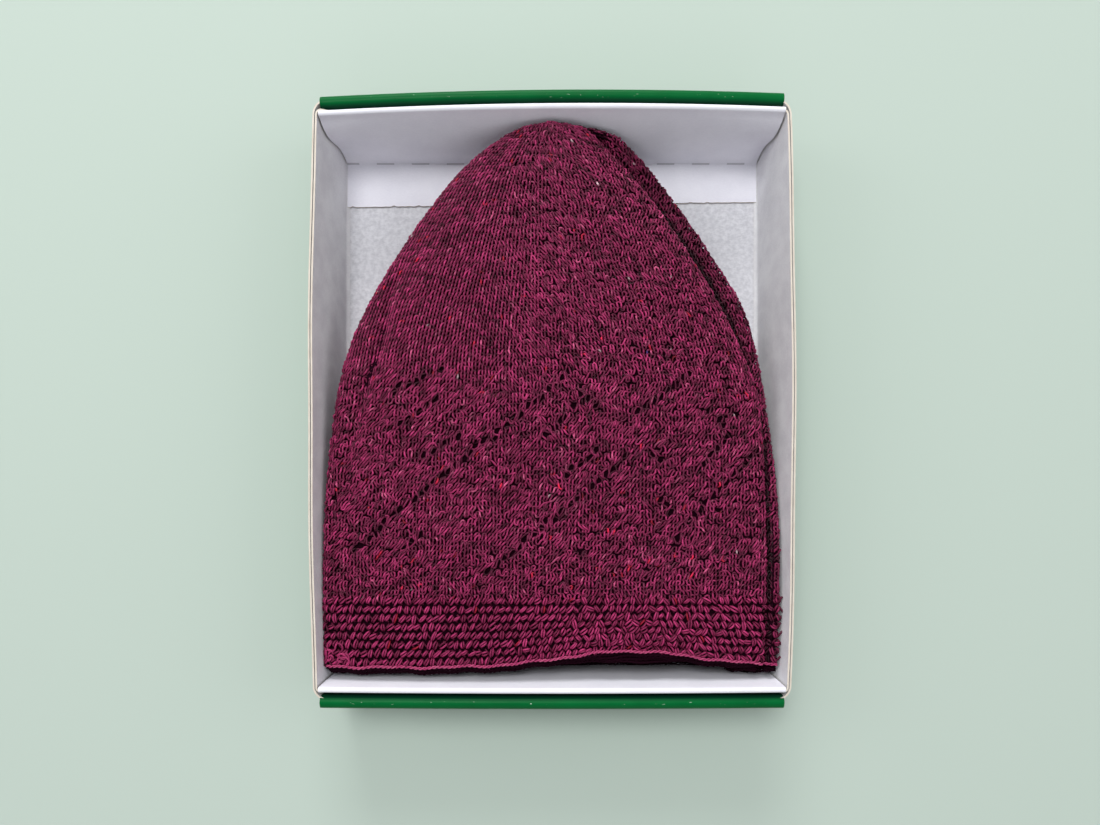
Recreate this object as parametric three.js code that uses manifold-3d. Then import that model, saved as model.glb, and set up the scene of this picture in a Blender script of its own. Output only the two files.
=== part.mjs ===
import * as THREE from "three";
import { mergeVertices } from "three/addons/utils/BufferGeometryUtils.js";
import Module from "manifold-3d";

// A knitted prayer cap laid flat in a card tray, which stands in its own upturned lid.
// Millimetres. +X runs across the cap, +Y from its mouth to its tip, +Z up.
// The origin is under the middle of the lid.

// Card of the tray and the lid
const CARD = 0.8;
const CLEARANCE = 0.3;
const FLOOR_HALF_WIDTH = 102.6; // inside the tray, at its floor
const WALL_LEAN = 2.7; // how far each side wall leans out at its rim
const WALL_BOW = 2.2; // how much further it bows out at mid-length
const BOW_RISE = 0.7; // power with which the bow grows up the wall
const NESTING_GAP = 0.7; // between the tray's side walls and the lid's

// Lid
const LID_HALF_LENGTH = 137.7;
const LID_RIM = 41;
const LID_ROLL = 5.8; // thickness of a roll-over end
const LID_ROLL_HALF_WIDTH = 104.3;
const LID_CORNER_RADIUS = 6;
const LID_FLAP = 16; // length of the corner flap held inside the roll

// Tray
const TRAY_FLOOR = CARD + CLEARANCE; // underside of its floor
const TRAY_HALF_LENGTH = 131.5;
const TRAY_RIM = 42;
const TRAY_ROLL = 2.6;
const TRAY_ROLL_HALF_WIDTH = 102.2;
const TRAY_CORNER_RADIUS = 2;
const TRAY_FLAP = 8;
const FLOOR_FLAP = 20; // tongue of a roll-over end that lies on the floor
const FAR_PANEL_LEAN = 4.6; // the inner panel beyond the tip leans in at its foot
const NEAR_PANEL_LEAN = 0.8;

// Cap
const KNIT = 2.6; // thickness of the knitted wall
const RIB_COUNT = 7;
const RIB_HEIGHT = 0.5;
const HEM_ARCH = 7.5; // rise of the front hem at its highest point
const HEM_ARCH_AT = 36;
const HEM_ARCH_SPREAD = 45;
const HEM_FADE = 1.5; // power with which the arch fades up the band
const BACK_HEM_DROP = 3.2; // how far the back hem shows below the front one
const BAND_TOP = 0.995; // band's end, in rows of the table below
const CROWN_START = 1.005;

// The flattened cap, a row for each cross-section from the hem to the tip.
// left and right: edges of the front layer; backLeft and backRight: edges of the back layer;
// top and bottom: heights of the two layers.
const SECTIONS = [
  { y: -124.0, left: -103.8, right: 98.4, backLeft: -102.0, backRight: 103.0, top: 33.5, bottom: 4.0 },
  { y: -90.0, left: -104.6, right: 99.6, backLeft: -102.6, backRight: 103.6, top: 35.0, bottom: 3.6 },
  { y: -45.0, left: -103.9, right: 99.6, backLeft: -101.4, backRight: 103.8, top: 36.0, bottom: 2.6 },
  { y: 1.4, left: -99.8, right: 97.0, backLeft: -97.0, backRight: 102.2, top: 36.3, bottom: 2.5 },
  { y: 24.6, left: -94.0, right: 89.2, backLeft: -91.0, backRight: 97.6, top: 36.4, bottom: 2.5 },
  { y: 48.0, left: -83.6, right: 78.0, backLeft: -80.5, backRight: 88.6, top: 36.4, bottom: 2.5 },
  { y: 71.0, left: -69.6, right: 64.0, backLeft: -66.5, backRight: 74.4, top: 36.5, bottom: 2.8 },
  { y: 92.0, left: -54.8, right: 48.5, backLeft: -52.0, backRight: 59.6, top: 36.8, bottom: 5.0 },
  { y: 107.4, left: -41.8, right: 35.4, backLeft: -39.0, backRight: 46.4, top: 37.0, bottom: 9.0 },
  { y: 118.2, left: -29.0, right: 23.0, backLeft: -26.5, backRight: 33.6, top: 36.6, bottom: 15.0 },
  { y: 124.0, left: -18.0, right: 13.0, backLeft: -16.0, backRight: 21.0, top: 35.0, bottom: 20.5 },
  { y: 126.8, left: 0.0, right: 0.0, backLeft: 0.0, backRight: 0.0, top: 29.0, bottom: 29.0 },
];

// Where the layers' edges and the groove between them lie, as shares of a section's height
const BACK_EDGE = 0.44;
const GROOVE = 0.63;
const FRONT_EDGE = 0.8;
const RIGHT_GROOVE_DEPTH = 6;
const LEFT_GROOVE_DEPTH = 2.5;
const TOP_SHOULDER = 11;
const BOTTOM_SHOULDER = 24;
const SHOULDER_DROP = 0.06;
const SHOULDER_LIFT = 0.03;
const SHOULDER_SHARE = 0.28; // the most a shoulder takes of a narrow section's width
const GROOVE_SHARE = 0.08;
const TIP = SECTIONS.length - 1;
const TIP_ROWS = 4; // rows over which the wall closes in at the tip

// Steps of the faceted walls
const LOOP_STEPS = 48;
const CROWN_OUTER_STEPS = 30;
const CROWN_INNER_STEPS = 20;
const BAND_INNER_STEPS = 5;
const WALL_STEPS = 4;
const HALF_LENGTH_STEPS = 6;
const FOLD_STEPS = 8;
const STRIP_ROOT = 3; // length of a roll-over's strip that lies in the floor
const SHARPEST_MITRE = 0.4;
const TOUCHING = 1e-3;

const wasm = await Module();
wasm.setup();

const knit = (name) =>
  new THREE.MeshStandardMaterial({ name, color: 0x6f2146, roughness: 0.92, metalness: 0 });
const whiteCard = new THREE.MeshStandardMaterial({ color: 0xd9d8de, roughness: 0.75, metalness: 0 });
const greenCard = new THREE.MeshStandardMaterial({ color: 0x1f7a44, roughness: 0.25, metalness: 0 });

// Smooth curve through the values at the knots, with slopes from the neighbouring knots.
function splineThrough(knots, values) {
  const last = knots.length - 1;
  const slope = values.map((_, i) => {
    const a = Math.max(i - 1, 0);
    const b = Math.min(i + 1, last);
    return (values[b] - values[a]) / (knots[b] - knots[a]);
  });
  return (t) => {
    const i = Math.min(Math.max(knots.findLastIndex((k) => k <= t), 0), last - 1);
    const span = knots[i + 1] - knots[i];
    const s = (t - knots[i]) / span;
    const rise = values[i + 1] - values[i];
    const bendIn = slope[i] * span - rise;
    const bendOut = -slope[i + 1] * span + rise;
    return values[i] + rise * s + s * (1 - s) * (bendIn * (1 - s) + bendOut * s);
  };
}

// Distance along the cap's left edge at each row, which spaces the rows of the curve evenly.
const reach = [0];
for (let i = 1; i < SECTIONS.length; i++) {
  const [a, b] = [SECTIONS[i - 1], SECTIONS[i]];
  reach.push(reach[i - 1] + Math.hypot(b.y - a.y, b.left - a.left));
}
const columns = Object.keys(SECTIONS[0]);
const curves = Object.fromEntries(
  columns.map((c) => [c, splineThrough(reach, SECTIONS.map((row) => row[c]))]),
);

// The section at a row number, which may lie between two rows, swollen by a thickness.
function sectionAt(row, swell) {
  const i = Math.min(Math.floor(row), TIP - 1);
  const t = reach[i] + (row - i) * (reach[i + 1] - reach[i]);
  const s = Object.fromEntries(columns.map((c) => [c, curves[c](t)]));
  const nearTip = THREE.MathUtils.smoothstep(row, TIP - TIP_ROWS, TIP);
  const grow = row < TIP ? swell : 0;
  return {
    y: s.y + swell * nearTip,
    left: s.left - grow,
    right: s.right + grow,
    backLeft: s.backLeft - grow,
    backRight: s.backRight + grow,
    top: s.top + grow,
    bottom: s.bottom - grow,
  };
}

// Closed loop of a section: the back layer from left to right, the groove, the front layer back.
function sectionLoop(s) {
  const width = Math.max(s.right - s.left, 0);
  const height = s.top - s.bottom;
  const middle = (s.left + s.right) / 2;
  const at = (share) => s.bottom + share * height;
  const topIn = Math.min(TOP_SHOULDER, SHOULDER_SHARE * width);
  const bottomIn = Math.min(BOTTOM_SHOULDER, SHOULDER_SHARE * width);
  const rightIn = Math.min(RIGHT_GROOVE_DEPTH, GROOVE_SHARE * width);
  const leftIn = Math.min(LEFT_GROOVE_DEPTH, GROOVE_SHARE * width);
  const points = [
    [middle, s.bottom],
    [s.backRight - bottomIn, at(SHOULDER_LIFT)],
    [s.backRight, at(BACK_EDGE)],
    [s.right - rightIn, at(GROOVE)],
    [s.right, at(FRONT_EDGE)],
    [s.right - topIn, at(1 - SHOULDER_DROP)],
    [middle, s.top],
    [s.left + topIn, at(1 - SHOULDER_DROP)],
    [s.left, at(FRONT_EDGE)],
    [s.left + leftIn, at(GROOVE)],
    [s.backLeft, at(BACK_EDGE)],
    [s.backLeft + bottomIn, at(SHOULDER_LIFT)],
  ].map(([x, z]) => new THREE.Vector3(x, 0, z));
  return new THREE.CatmullRomCurve3(points, true, "centripetal");
}

// A point of the cap: row in the table, share of the way round, and swell of the wall there.
function capPoint(row, share, swell) {
  const s = sectionAt(row, swell);
  if (s.top - s.bottom < TOUCHING) return new THREE.Vector3(s.left, s.y, s.top);
  const p = sectionLoop(s).getPoint(share % 1);
  p.z = Math.max(p.z, s.bottom); // flat where it rests
  return p.setY(s.y + hemShift(p, s, row));
}

// The hem arches up on the front layer and hangs lower on the back layer, fading up the band.
function hemShift(p, s, row) {
  if (row >= 1) return 0;
  const front = THREE.MathUtils.smoothstep((p.z - s.bottom) / (s.top - s.bottom), 0.35, 0.8);
  const arch = HEM_ARCH * Math.exp(-(((p.x - HEM_ARCH_AT) / HEM_ARCH_SPREAD) ** 2));
  return (front * arch - (1 - front) * BACK_HEM_DROP) * (1 - row) ** HEM_FADE;
}

// Closed geometry between an outer and an inner grid of points, row by row.
// loops: whether each row closes on itself. Rows that shrink to a point make a tip.
function wallBetween(outer, inner, loops) {
  const positions = [];
  const triangle = (a, b, c) => {
    if (Math.min(a.distanceTo(b), b.distanceTo(c), c.distanceTo(a)) < TOUCHING) return;
    positions.push(...a, ...b, ...c);
  };
  const quad = (a, b, c, d) => {
    triangle(a, b, c);
    triangle(a, c, d);
  };
  const skin = (grid, turned) => {
    for (let i = 0; i + 1 < grid.length; i++) {
      const count = grid[i].length;
      for (let j = 0; j < count - (loops ? 0 : 1); j++) {
        const k = (j + 1) % count;
        const [a, b, c, d] = [grid[i][j], grid[i][k], grid[i + 1][k], grid[i + 1][j]];
        if (turned) quad(d, c, b, a);
        else quad(a, b, c, d);
      }
    }
  };
  const rim = (from, to) => {
    for (let j = 0; j < from.length - (loops ? 0 : 1); j++) {
      const k = (j + 1) % from.length;
      quad(from[k], from[j], to[j], to[k]);
    }
  };
  const end = (from, to) => {
    for (let i = 0; i + 1 < from.length; i++) quad(from[i], from[i + 1], to[i + 1], to[i]);
  };
  skin(outer, false);
  skin(inner, true);
  rim(outer[0], inner[0]);
  rim(inner.at(-1), outer.at(-1));
  if (!loops) {
    end(outer.map((r) => r[0]), inner.map((r) => r[0]));
    end(inner.map((r) => r.at(-1)), outer.map((r) => r.at(-1)));
  }
  const made = new THREE.BufferGeometry();
  made.setAttribute("position", new THREE.Float32BufferAttribute(positions, 3));
  return facingOut(made);
}

// The same closed geometry with merged vertices and its faces turned outwards.
function facingOut(geometry) {
  geometry.deleteAttribute("normal");
  geometry.deleteAttribute("uv");
  const merged = mergeVertices(geometry, TOUCHING);
  const [a, b, c] = [new THREE.Vector3(), new THREE.Vector3(), new THREE.Vector3()];
  const { position } = merged.attributes;
  const index = merged.index.array;
  let volume = 0;
  for (let i = 0; i < index.length; i += 3) {
    a.fromBufferAttribute(position, index[i]);
    b.fromBufferAttribute(position, index[i + 1]);
    c.fromBufferAttribute(position, index[i + 2]);
    volume += a.dot(b.cross(c));
  }
  if (volume < 0) {
    for (let i = 0; i < index.length; i += 3) {
      [index[i + 1], index[i + 2]] = [index[i + 2], index[i + 1]];
    }
  }
  return merged;
}

// Joins closed geometries into one solid.
function join(geometries) {
  const solids = geometries.map((g) => {
    const merged = facingOut(g);
    const mesh = new wasm.Mesh({
      numProp: 3,
      vertProperties: new Float32Array(merged.attributes.position.array),
      triVerts: new Uint32Array(merged.index.array),
    });
    return new wasm.Manifold(mesh);
  });
  const mesh = solids.reduce((a, b) => a.add(b)).getMesh();
  const made = new THREE.BufferGeometry();
  made.setAttribute("position", new THREE.Float32BufferAttribute(mesh.vertProperties, 3));
  made.setIndex(new THREE.Uint32BufferAttribute(mesh.triVerts, 1));
  return made;
}

// Rows of cap points for a list of row numbers, each with its swell.
const capGrid = (rows) =>
  rows.map(({ row, swell }) =>
    Array.from({ length: LOOP_STEPS }, (_, j) => capPoint(row, j / LOOP_STEPS, swell)),
  );

const evenly = (from, to, steps, swellAt) =>
  Array.from({ length: steps + 1 }, (_, i) => ({
    row: from + ((to - from) * i) / steps,
    swell: swellAt(i),
  }));

function crownGeometry() {
  const outer = capGrid(evenly(CROWN_START, TIP, CROWN_OUTER_STEPS, () => 0));
  const inner = capGrid(evenly(CROWN_START, TIP, CROWN_INNER_STEPS, () => -KNIT));
  return wallBetween(outer, inner, true);
}

// The outer skin swells and sinks once for each rib.
function bandGeometry() {
  const outer = capGrid(evenly(0, BAND_TOP, 2 * RIB_COUNT, (i) => (i % 2 ? 0 : -RIB_HEIGHT)));
  const inner = capGrid(evenly(0, BAND_TOP, BAND_INNER_STEPS, () => -KNIT));
  return wallBetween(outer, inner, true);
}

// Half-width of a side wall's inner face at a place along it and at a height above its foot.
function wallHalf(base, y, height, rim) {
  const up = height / rim;
  const along = Math.min(Math.abs(y) / TRAY_HALF_LENGTH, 1);
  return base + WALL_LEAN * up + WALL_BOW * (1 - along ** 2) * up ** BOW_RISE;
}

// A bowed card side wall with its two corners turned in to short flaps.
function sideWall({ side, base, foot, rim, endY, radius, flap }) {
  const plan = [];
  const turn = (sign) =>
    [0, 1, 2, 3, 4].map((i) => {
      const angle = (sign * i * Math.PI) / 8;
      const y = sign * (endY - radius) + radius * Math.sin(angle);
      return { y, inset: radius * (1 - Math.cos(angle)), angle };
    });
  const flapEnd = (sign) => ({ y: sign * endY, inset: radius + flap, angle: (sign * Math.PI) / 2 });
  const straight = endY - radius;
  plan.push(flapEnd(-1), ...turn(-1).reverse());
  for (let i = 1; i < 2 * HALF_LENGTH_STEPS; i++) {
    plan.push({ y: straight * (i / HALF_LENGTH_STEPS - 1), inset: 0, angle: 0 });
  }
  plan.push(...turn(1), flapEnd(1));
  const face = (out) =>
    Array.from({ length: WALL_STEPS + 1 }, (_, k) => {
      const height = ((rim - foot) * k) / WALL_STEPS;
      return plan.map(({ y, inset, angle }) => {
        const half = wallHalf(base, y, height, rim - foot) - inset + CARD / 2;
        const x = half + out * Math.cos(angle);
        return new THREE.Vector3(side * x, y + out * Math.sin(angle), foot + height);
      });
    });
  return wallBetween(face(CARD / 2), face(-CARD / 2), false);
}

// Outline of a card strip of even thickness along a folded path.
function stripOutline(path) {
  const normals = path.map((p, i) => {
    const before = path[Math.max(i - 1, 0)];
    const after = path[Math.min(i + 1, path.length - 1)];
    const d1 = p.clone().sub(before).normalize();
    const d2 = after.clone().sub(p).normalize();
    if (i === 0) d1.copy(d2);
    if (i === path.length - 1) d2.copy(d1);
    const n = new THREE.Vector2(-d1.y - d2.y, d1.x + d2.x).normalize();
    return n.divideScalar(Math.max(n.dot(new THREE.Vector2(-d1.y, d1.x)), SHARPEST_MITRE));
  });
  const offset = (sign) =>
    path.map((p, i) => p.clone().addScaledVector(normals[i], (sign * CARD) / 2));
  return [...offset(1), ...offset(-1).reverse()];
}

// A roll-over end: up the outside, round the rim, down inside, with an optional tongue on the floor.
function rollOver({ end, foot, rim, outerY, thickness, lean, tongue, halfWidth }) {
  const radius = (thickness - CARD) / 2;
  const outside = outerY - CARD / 2;
  const middle = outside - radius;
  const top = rim - CARD / 2 - radius;
  const inside = middle - radius;
  const innerFoot = foot + CARD + CLEARANCE;
  const path = [new THREE.Vector2(outside - STRIP_ROOT, foot), new THREE.Vector2(outside, foot)];
  for (let i = 0; i <= FOLD_STEPS; i++) {
    const angle = (i * Math.PI) / FOLD_STEPS;
    path.push(new THREE.Vector2(middle + radius * Math.cos(angle), top + radius * Math.sin(angle)));
  }
  path.push(new THREE.Vector2(inside - lean, innerFoot));
  if (tongue > 0) path.push(new THREE.Vector2(inside - lean - tongue, innerFoot));
  const shape = new THREE.Shape(stripOutline(path));
  const made = new THREE.ExtrudeGeometry(shape, { depth: 2 * halfWidth, bevelEnabled: false });
  made.translate(0, 0, -halfWidth);
  // The strip's profile turns from X and Y into Y and Z, and its length from Z into X.
  const across = new THREE.Vector3(0, end, 0);
  made.applyMatrix4(
    new THREE.Matrix4().makeBasis(across, new THREE.Vector3(0, 0, 1), new THREE.Vector3(1, 0, 0)),
  );
  return made;
}

const floorPlate = (halfWidth, halfLength, under) =>
  new THREE.BoxGeometry(2 * halfWidth, 2 * halfLength, CARD).translate(0, 0, under + CARD / 2);

function trayGeometry() {
  const wall = {
    base: FLOOR_HALF_WIDTH,
    foot: TRAY_FLOOR,
    rim: TRAY_RIM - CARD,
    endY: TRAY_HALF_LENGTH - CARD / 2,
    radius: TRAY_CORNER_RADIUS,
    flap: TRAY_FLAP,
  };
  const roll = {
    foot: TRAY_FLOOR + CARD / 2,
    rim: TRAY_RIM,
    outerY: TRAY_HALF_LENGTH,
    thickness: TRAY_ROLL,
    tongue: FLOOR_FLAP,
    halfWidth: TRAY_ROLL_HALF_WIDTH,
  };
  return join([
    floorPlate(FLOOR_HALF_WIDTH + CARD / 2, TRAY_HALF_LENGTH - CARD / 2, TRAY_FLOOR),
    sideWall({ ...wall, side: 1 }),
    sideWall({ ...wall, side: -1 }),
    rollOver({ ...roll, end: 1, lean: FAR_PANEL_LEAN }),
    rollOver({ ...roll, end: -1, lean: NEAR_PANEL_LEAN }),
  ]);
}

function lidGeometry() {
  const base = FLOOR_HALF_WIDTH + CARD + NESTING_GAP;
  const wall = {
    base,
    foot: 0,
    rim: LID_RIM - CARD,
    endY: LID_HALF_LENGTH - LID_ROLL / 2,
    radius: LID_CORNER_RADIUS,
    flap: LID_FLAP,
  };
  const roll = {
    foot: CARD / 2,
    rim: LID_RIM,
    outerY: LID_HALF_LENGTH,
    thickness: LID_ROLL,
    lean: 0,
    tongue: 0,
    halfWidth: LID_ROLL_HALF_WIDTH,
  };
  return join([
    floorPlate(base + CARD / 2, LID_HALF_LENGTH - CARD / 2, 0),
    sideWall({ ...wall, side: 1 }),
    sideWall({ ...wall, side: -1 }),
    rollOver({ ...roll, end: 1 }),
    rollOver({ ...roll, end: -1 }),
  ]);
}

function piece(name, geometry, material) {
  const mesh = new THREE.Mesh(geometry, material);
  mesh.name = name;
  return mesh;
}

const cap = new THREE.Group();
cap.add(piece("crown", crownGeometry(), knit("crown knit")));
cap.add(piece("band", bandGeometry(), knit("band knit")));

const box = new THREE.Group();
box.add(piece("tray", trayGeometry(), whiteCard));
box.add(piece("lid", lidGeometry(), greenCard));

const part = new THREE.Group();
part.add(cap, box);

export default part;
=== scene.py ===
"""Looks of a knitted prayer cap that lies flat in a card tray, inside the tray's upturned lid.

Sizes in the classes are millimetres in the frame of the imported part: +X across the cap, +Y from its
mouth to its tip, +Z up. Meshes are made in metres.
"""

from __future__ import annotations

import logging
import math
from dataclasses import dataclass, field
from enum import Enum
from typing import NamedTuple, Sequence

import bpy
import numpy as np
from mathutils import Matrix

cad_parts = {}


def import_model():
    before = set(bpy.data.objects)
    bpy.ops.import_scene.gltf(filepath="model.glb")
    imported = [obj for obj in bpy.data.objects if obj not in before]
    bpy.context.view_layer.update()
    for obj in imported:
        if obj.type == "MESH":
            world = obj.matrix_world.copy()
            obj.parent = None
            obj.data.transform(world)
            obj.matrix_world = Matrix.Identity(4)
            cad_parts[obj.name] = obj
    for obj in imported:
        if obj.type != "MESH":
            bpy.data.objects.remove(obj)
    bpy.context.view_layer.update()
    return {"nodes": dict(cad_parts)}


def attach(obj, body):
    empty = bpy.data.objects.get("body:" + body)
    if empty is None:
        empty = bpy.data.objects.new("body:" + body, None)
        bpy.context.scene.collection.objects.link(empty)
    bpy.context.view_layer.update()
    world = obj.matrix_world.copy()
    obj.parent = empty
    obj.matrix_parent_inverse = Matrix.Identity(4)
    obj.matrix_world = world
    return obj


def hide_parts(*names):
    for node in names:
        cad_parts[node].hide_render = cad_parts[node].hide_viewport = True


log = logging.getLogger("prayer_cap")

MM = 0.001
BODY = "root"
SEED = 20
CARD = 0.8
Colour = tuple[float, float, float]

# Shares of the way round a course, from the middle of the cap's underside.
BACK_RIGHT = 1 / 6
FRONT_RIGHT = 1 / 3
FRONT_LEFT = 2 / 3
COVER = (0.115, 0.885)


def linear(red: int, green: int, blue: int) -> Colour:
    """Linear colour of an 8-bit screen colour.

    Args:
        red: red from 0 to 255.
        green: green from 0 to 255.
        blue: blue from 0 to 255.

    Returns:
        The three linear shares.
    """

    def one(level: int) -> float:
        """Linear share of one channel."""
        share = level / 255
        return share / 12.92 if share <= 0.04045 else ((share + 0.055) / 1.055) ** 2.4

    return one(red), one(green), one(blue)


class Value:
    """A shader socket on which Python arithmetic adds Math nodes."""

    def __init__(self, tree: bpy.types.NodeTree, socket: bpy.types.NodeSocket) -> None:
        """Wraps a socket of a node tree.

        Args:
            tree: the tree that the socket belongs to.
            socket: an output socket.
        """
        self.tree = tree
        self.socket = socket

    def math(self, operation: str, *terms: "Value | float") -> "Value":
        """Adds one Math node.

        Args:
            operation: the node's operation.
            terms: values or numbers for its inputs.

        Returns:
            The node's result.
        """
        node = self.tree.nodes.new("ShaderNodeMath")
        node.operation = operation
        for socket, term in zip(node.inputs, terms):
            plug(self.tree, socket, term)
        return Value(self.tree, node.outputs[0])

    def __add__(self, other: "Value | float") -> "Value":
        """Sum."""
        return self.math("ADD", self, other)

    def __radd__(self, other: float) -> "Value":
        """Sum with a number on the left."""
        return self.math("ADD", other, self)

    def __sub__(self, other: "Value | float") -> "Value":
        """Difference."""
        return self.math("SUBTRACT", self, other)

    def __rsub__(self, other: float) -> "Value":
        """Difference from a number."""
        return self.math("SUBTRACT", other, self)

    def __mul__(self, other: "Value | float") -> "Value":
        """Product."""
        return self.math("MULTIPLY", self, other)

    def __rmul__(self, other: float) -> "Value":
        """Product with a number on the left."""
        return self.math("MULTIPLY", other, self)

    def __truediv__(self, other: "Value | float") -> "Value":
        """Quotient."""
        return self.math("DIVIDE", self, other)

    def __rtruediv__(self, other: float) -> "Value":
        """Quotient of a number."""
        return self.math("DIVIDE", other, self)

    def __lt__(self, other: "Value | float") -> "Value":
        """1 where this is less, else 0."""
        return self.math("LESS_THAN", self, other)

    def __abs__(self) -> "Value":
        """Size without its sign."""
        return self.math("ABSOLUTE", self)


def plug(tree: bpy.types.NodeTree, socket: bpy.types.NodeSocket, value: object) -> None:
    """Links a value to a socket, or sets a plain number or colour on it.

    Args:
        tree: the tree that holds the socket.
        socket: an input socket.
        value: a Value, a number, or a colour or vector as a tuple.
    """
    if isinstance(value, Value):
        tree.links.new(value.socket, socket)
    elif isinstance(value, tuple) and socket.type == "RGBA" and len(value) == 3:
        socket.default_value = (*value, 1.0)
    else:
        socket.default_value = value


class Graph:
    """The nodes of one material."""

    def __init__(self, name: str) -> None:
        """Starts a material with one Principled shader.

        Args:
            name: the material's name.
        """
        self.material = bpy.data.materials.new(name)
        self.material.use_nodes = True
        self.tree = self.material.node_tree
        self.shader = self.tree.nodes["Principled BSDF"]

    def node(
        self,
        kind: str,
        settings: dict[str, object] | None = None,
        inputs: dict[str | int, object] | None = None,
        output: str | int = 0,
    ) -> Value:
        """Adds any node.

        Args:
            kind: the node's type.
            settings: properties to set first, such as a Math node's operation.
            inputs: values, links, numbers or colours by socket name or number.
            output: name or number of the output that is wanted.

        Returns:
            That output.
        """
        node = self.tree.nodes.new(kind)
        for key, setting in (settings or {}).items():
            setattr(node, key, setting)
        for key, value in (inputs or {}).items():
            plug(self.tree, node.inputs[key], value)
        return Value(self.tree, node.outputs[output])

    def place(self) -> Value:
        """Coordinates in the part's own frame, in metres."""
        return self.node("ShaderNodeTexCoord", output="Object")

    def axis(self, vector: Value, number: int) -> Value:
        """One number of a vector: 0 for x, 1 for y, 2 for z."""
        return self.node("ShaderNodeSeparateXYZ", inputs={0: vector}, output=number)

    def noise(
        self, size: float, detail: float = 3.0, stretch: tuple[float, float, float] = (1, 1, 1)
    ) -> Value:
        """Noise in the part's frame.

        Args:
            size: size of a blotch in millimetres.
            detail: number of finer octaves.
            stretch: how much denser the noise is along each axis.

        Returns:
            A number around one half.
        """
        spread = self.node("ShaderNodeMapping", inputs={"Vector": self.place(), "Scale": stretch})
        inputs = {"Vector": spread, "Scale": 1 / (size * MM), "Detail": detail}
        return self.node("ShaderNodeTexNoise", inputs=inputs)

    def ramp(self, value: Value, low: float, high: float) -> Value:
        """A smooth step from 0 to 1.

        Args:
            value: the number that is tested.
            low: where the step starts.
            high: where it ends; it may be less than low.

        Returns:
            The step's height.
        """
        settings = {"interpolation_type": "SMOOTHSTEP"}
        inputs = {"Value": value, "From Min": low, "From Max": high}
        return self.node("ShaderNodeMapRange", settings, inputs)

    def mix(self, share: Value | float, first: object, second: object) -> Value:
        """Blends two colours.

        Args:
            share: share of the second colour.
            first: colour at share 0.
            second: colour at share 1.

        Returns:
            The blended colour.
        """
        inputs = {0: share, 6: first, 7: second}
        return self.node("ShaderNodeMix", {"data_type": "RGBA"}, inputs, output=2)

    def bump(self, height: Value, depth: float) -> Value:
        """A normal that follows a height.

        Args:
            height: height from 0 to 1.
            depth: depth of the relief in millimetres.

        Returns:
            The bent normal.
        """
        inputs = {"Height": height, "Distance": depth * MM, "Strength": 1.0}
        return self.node("ShaderNodeBump", inputs=inputs, output="Normal")

    def set(self, **sockets: object) -> bpy.types.Material:
        """Sets or links the Principled shader's sockets.

        Args:
            sockets: values by socket name, with _ for each space.

        Returns:
            The finished material.
        """
        for name, value in sockets.items():
            plug(self.tree, self.shader.inputs[name.replace("_", " ")], value)
        return self.material


class YarnTone(Enum):
    """Yarn shades of the cap, as screen colours."""

    STRAND = (178, 52, 106)
    DEEP = (114, 25, 62)
    PINK = (196, 84, 126)
    RED = (206, 34, 70)
    LINT = (220, 190, 196)
    BLUE = (52, 54, 120)

    @property
    def rgb(self) -> np.ndarray:
        """The shade as linear numbers."""
        return np.array(linear(*self.value))


@dataclass(frozen=True)
class YarnFinish:
    """Spun yarn: each strand's own shade with fine fibres over it."""

    name: str
    fibre: float = 0.35
    relief: float = 0.12
    least_light: float = 0.75
    fibre_light: float = 0.5
    specular: float = 0.18
    roughness: float = 0.46

    def material(self) -> bpy.types.Material:
        """Makes the finish.

        Returns:
            A material that reads the mesh's Shade colours.
        """
        graph = Graph(self.name)
        shade = graph.node("ShaderNodeVertexColor", {"layer_name": "Shade"}, output="Color")
        fibres = graph.noise(self.fibre, detail=2.0)
        return graph.set(
            Base_Color=graph.mix(self.least_light + self.fibre_light * fibres, (0.0, 0.0, 0.0), shade),
            Roughness=self.roughness,
            Specular_IOR_Level=self.specular,
            Normal=graph.bump(fibres, self.relief),
        )


@dataclass(frozen=True)
class ShadeBackingFinish:
    """The knit's wall behind its face strands, coloured near black as painted shade between the strands."""

    name: str
    dark: Colour = linear(20, 2, 11)
    light: Colour = linear(34, 5, 20)
    course: float = 2.1
    blotch: float = 1.2
    relief: float = 0.4
    specular: float = 0.05
    roughness: float = 0.95

    def material(self) -> bpy.types.Material:
        """Makes the finish.

        Returns:
            A dark burgundy with fine rows.
        """
        graph = Graph(self.name)
        turns = graph.axis(graph.place(), 1) * (2 * math.pi / (self.course * MM))
        rows = graph.node("ShaderNodeMath", {"operation": "SINE"}, {0: turns})
        blotch = graph.noise(self.blotch)
        return graph.set(
            Base_Color=graph.mix(blotch, self.dark, self.light),
            Roughness=self.roughness,
            Specular_IOR_Level=self.specular,
            Normal=graph.bump(0.5 * rows + blotch, self.relief),
        )


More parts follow.
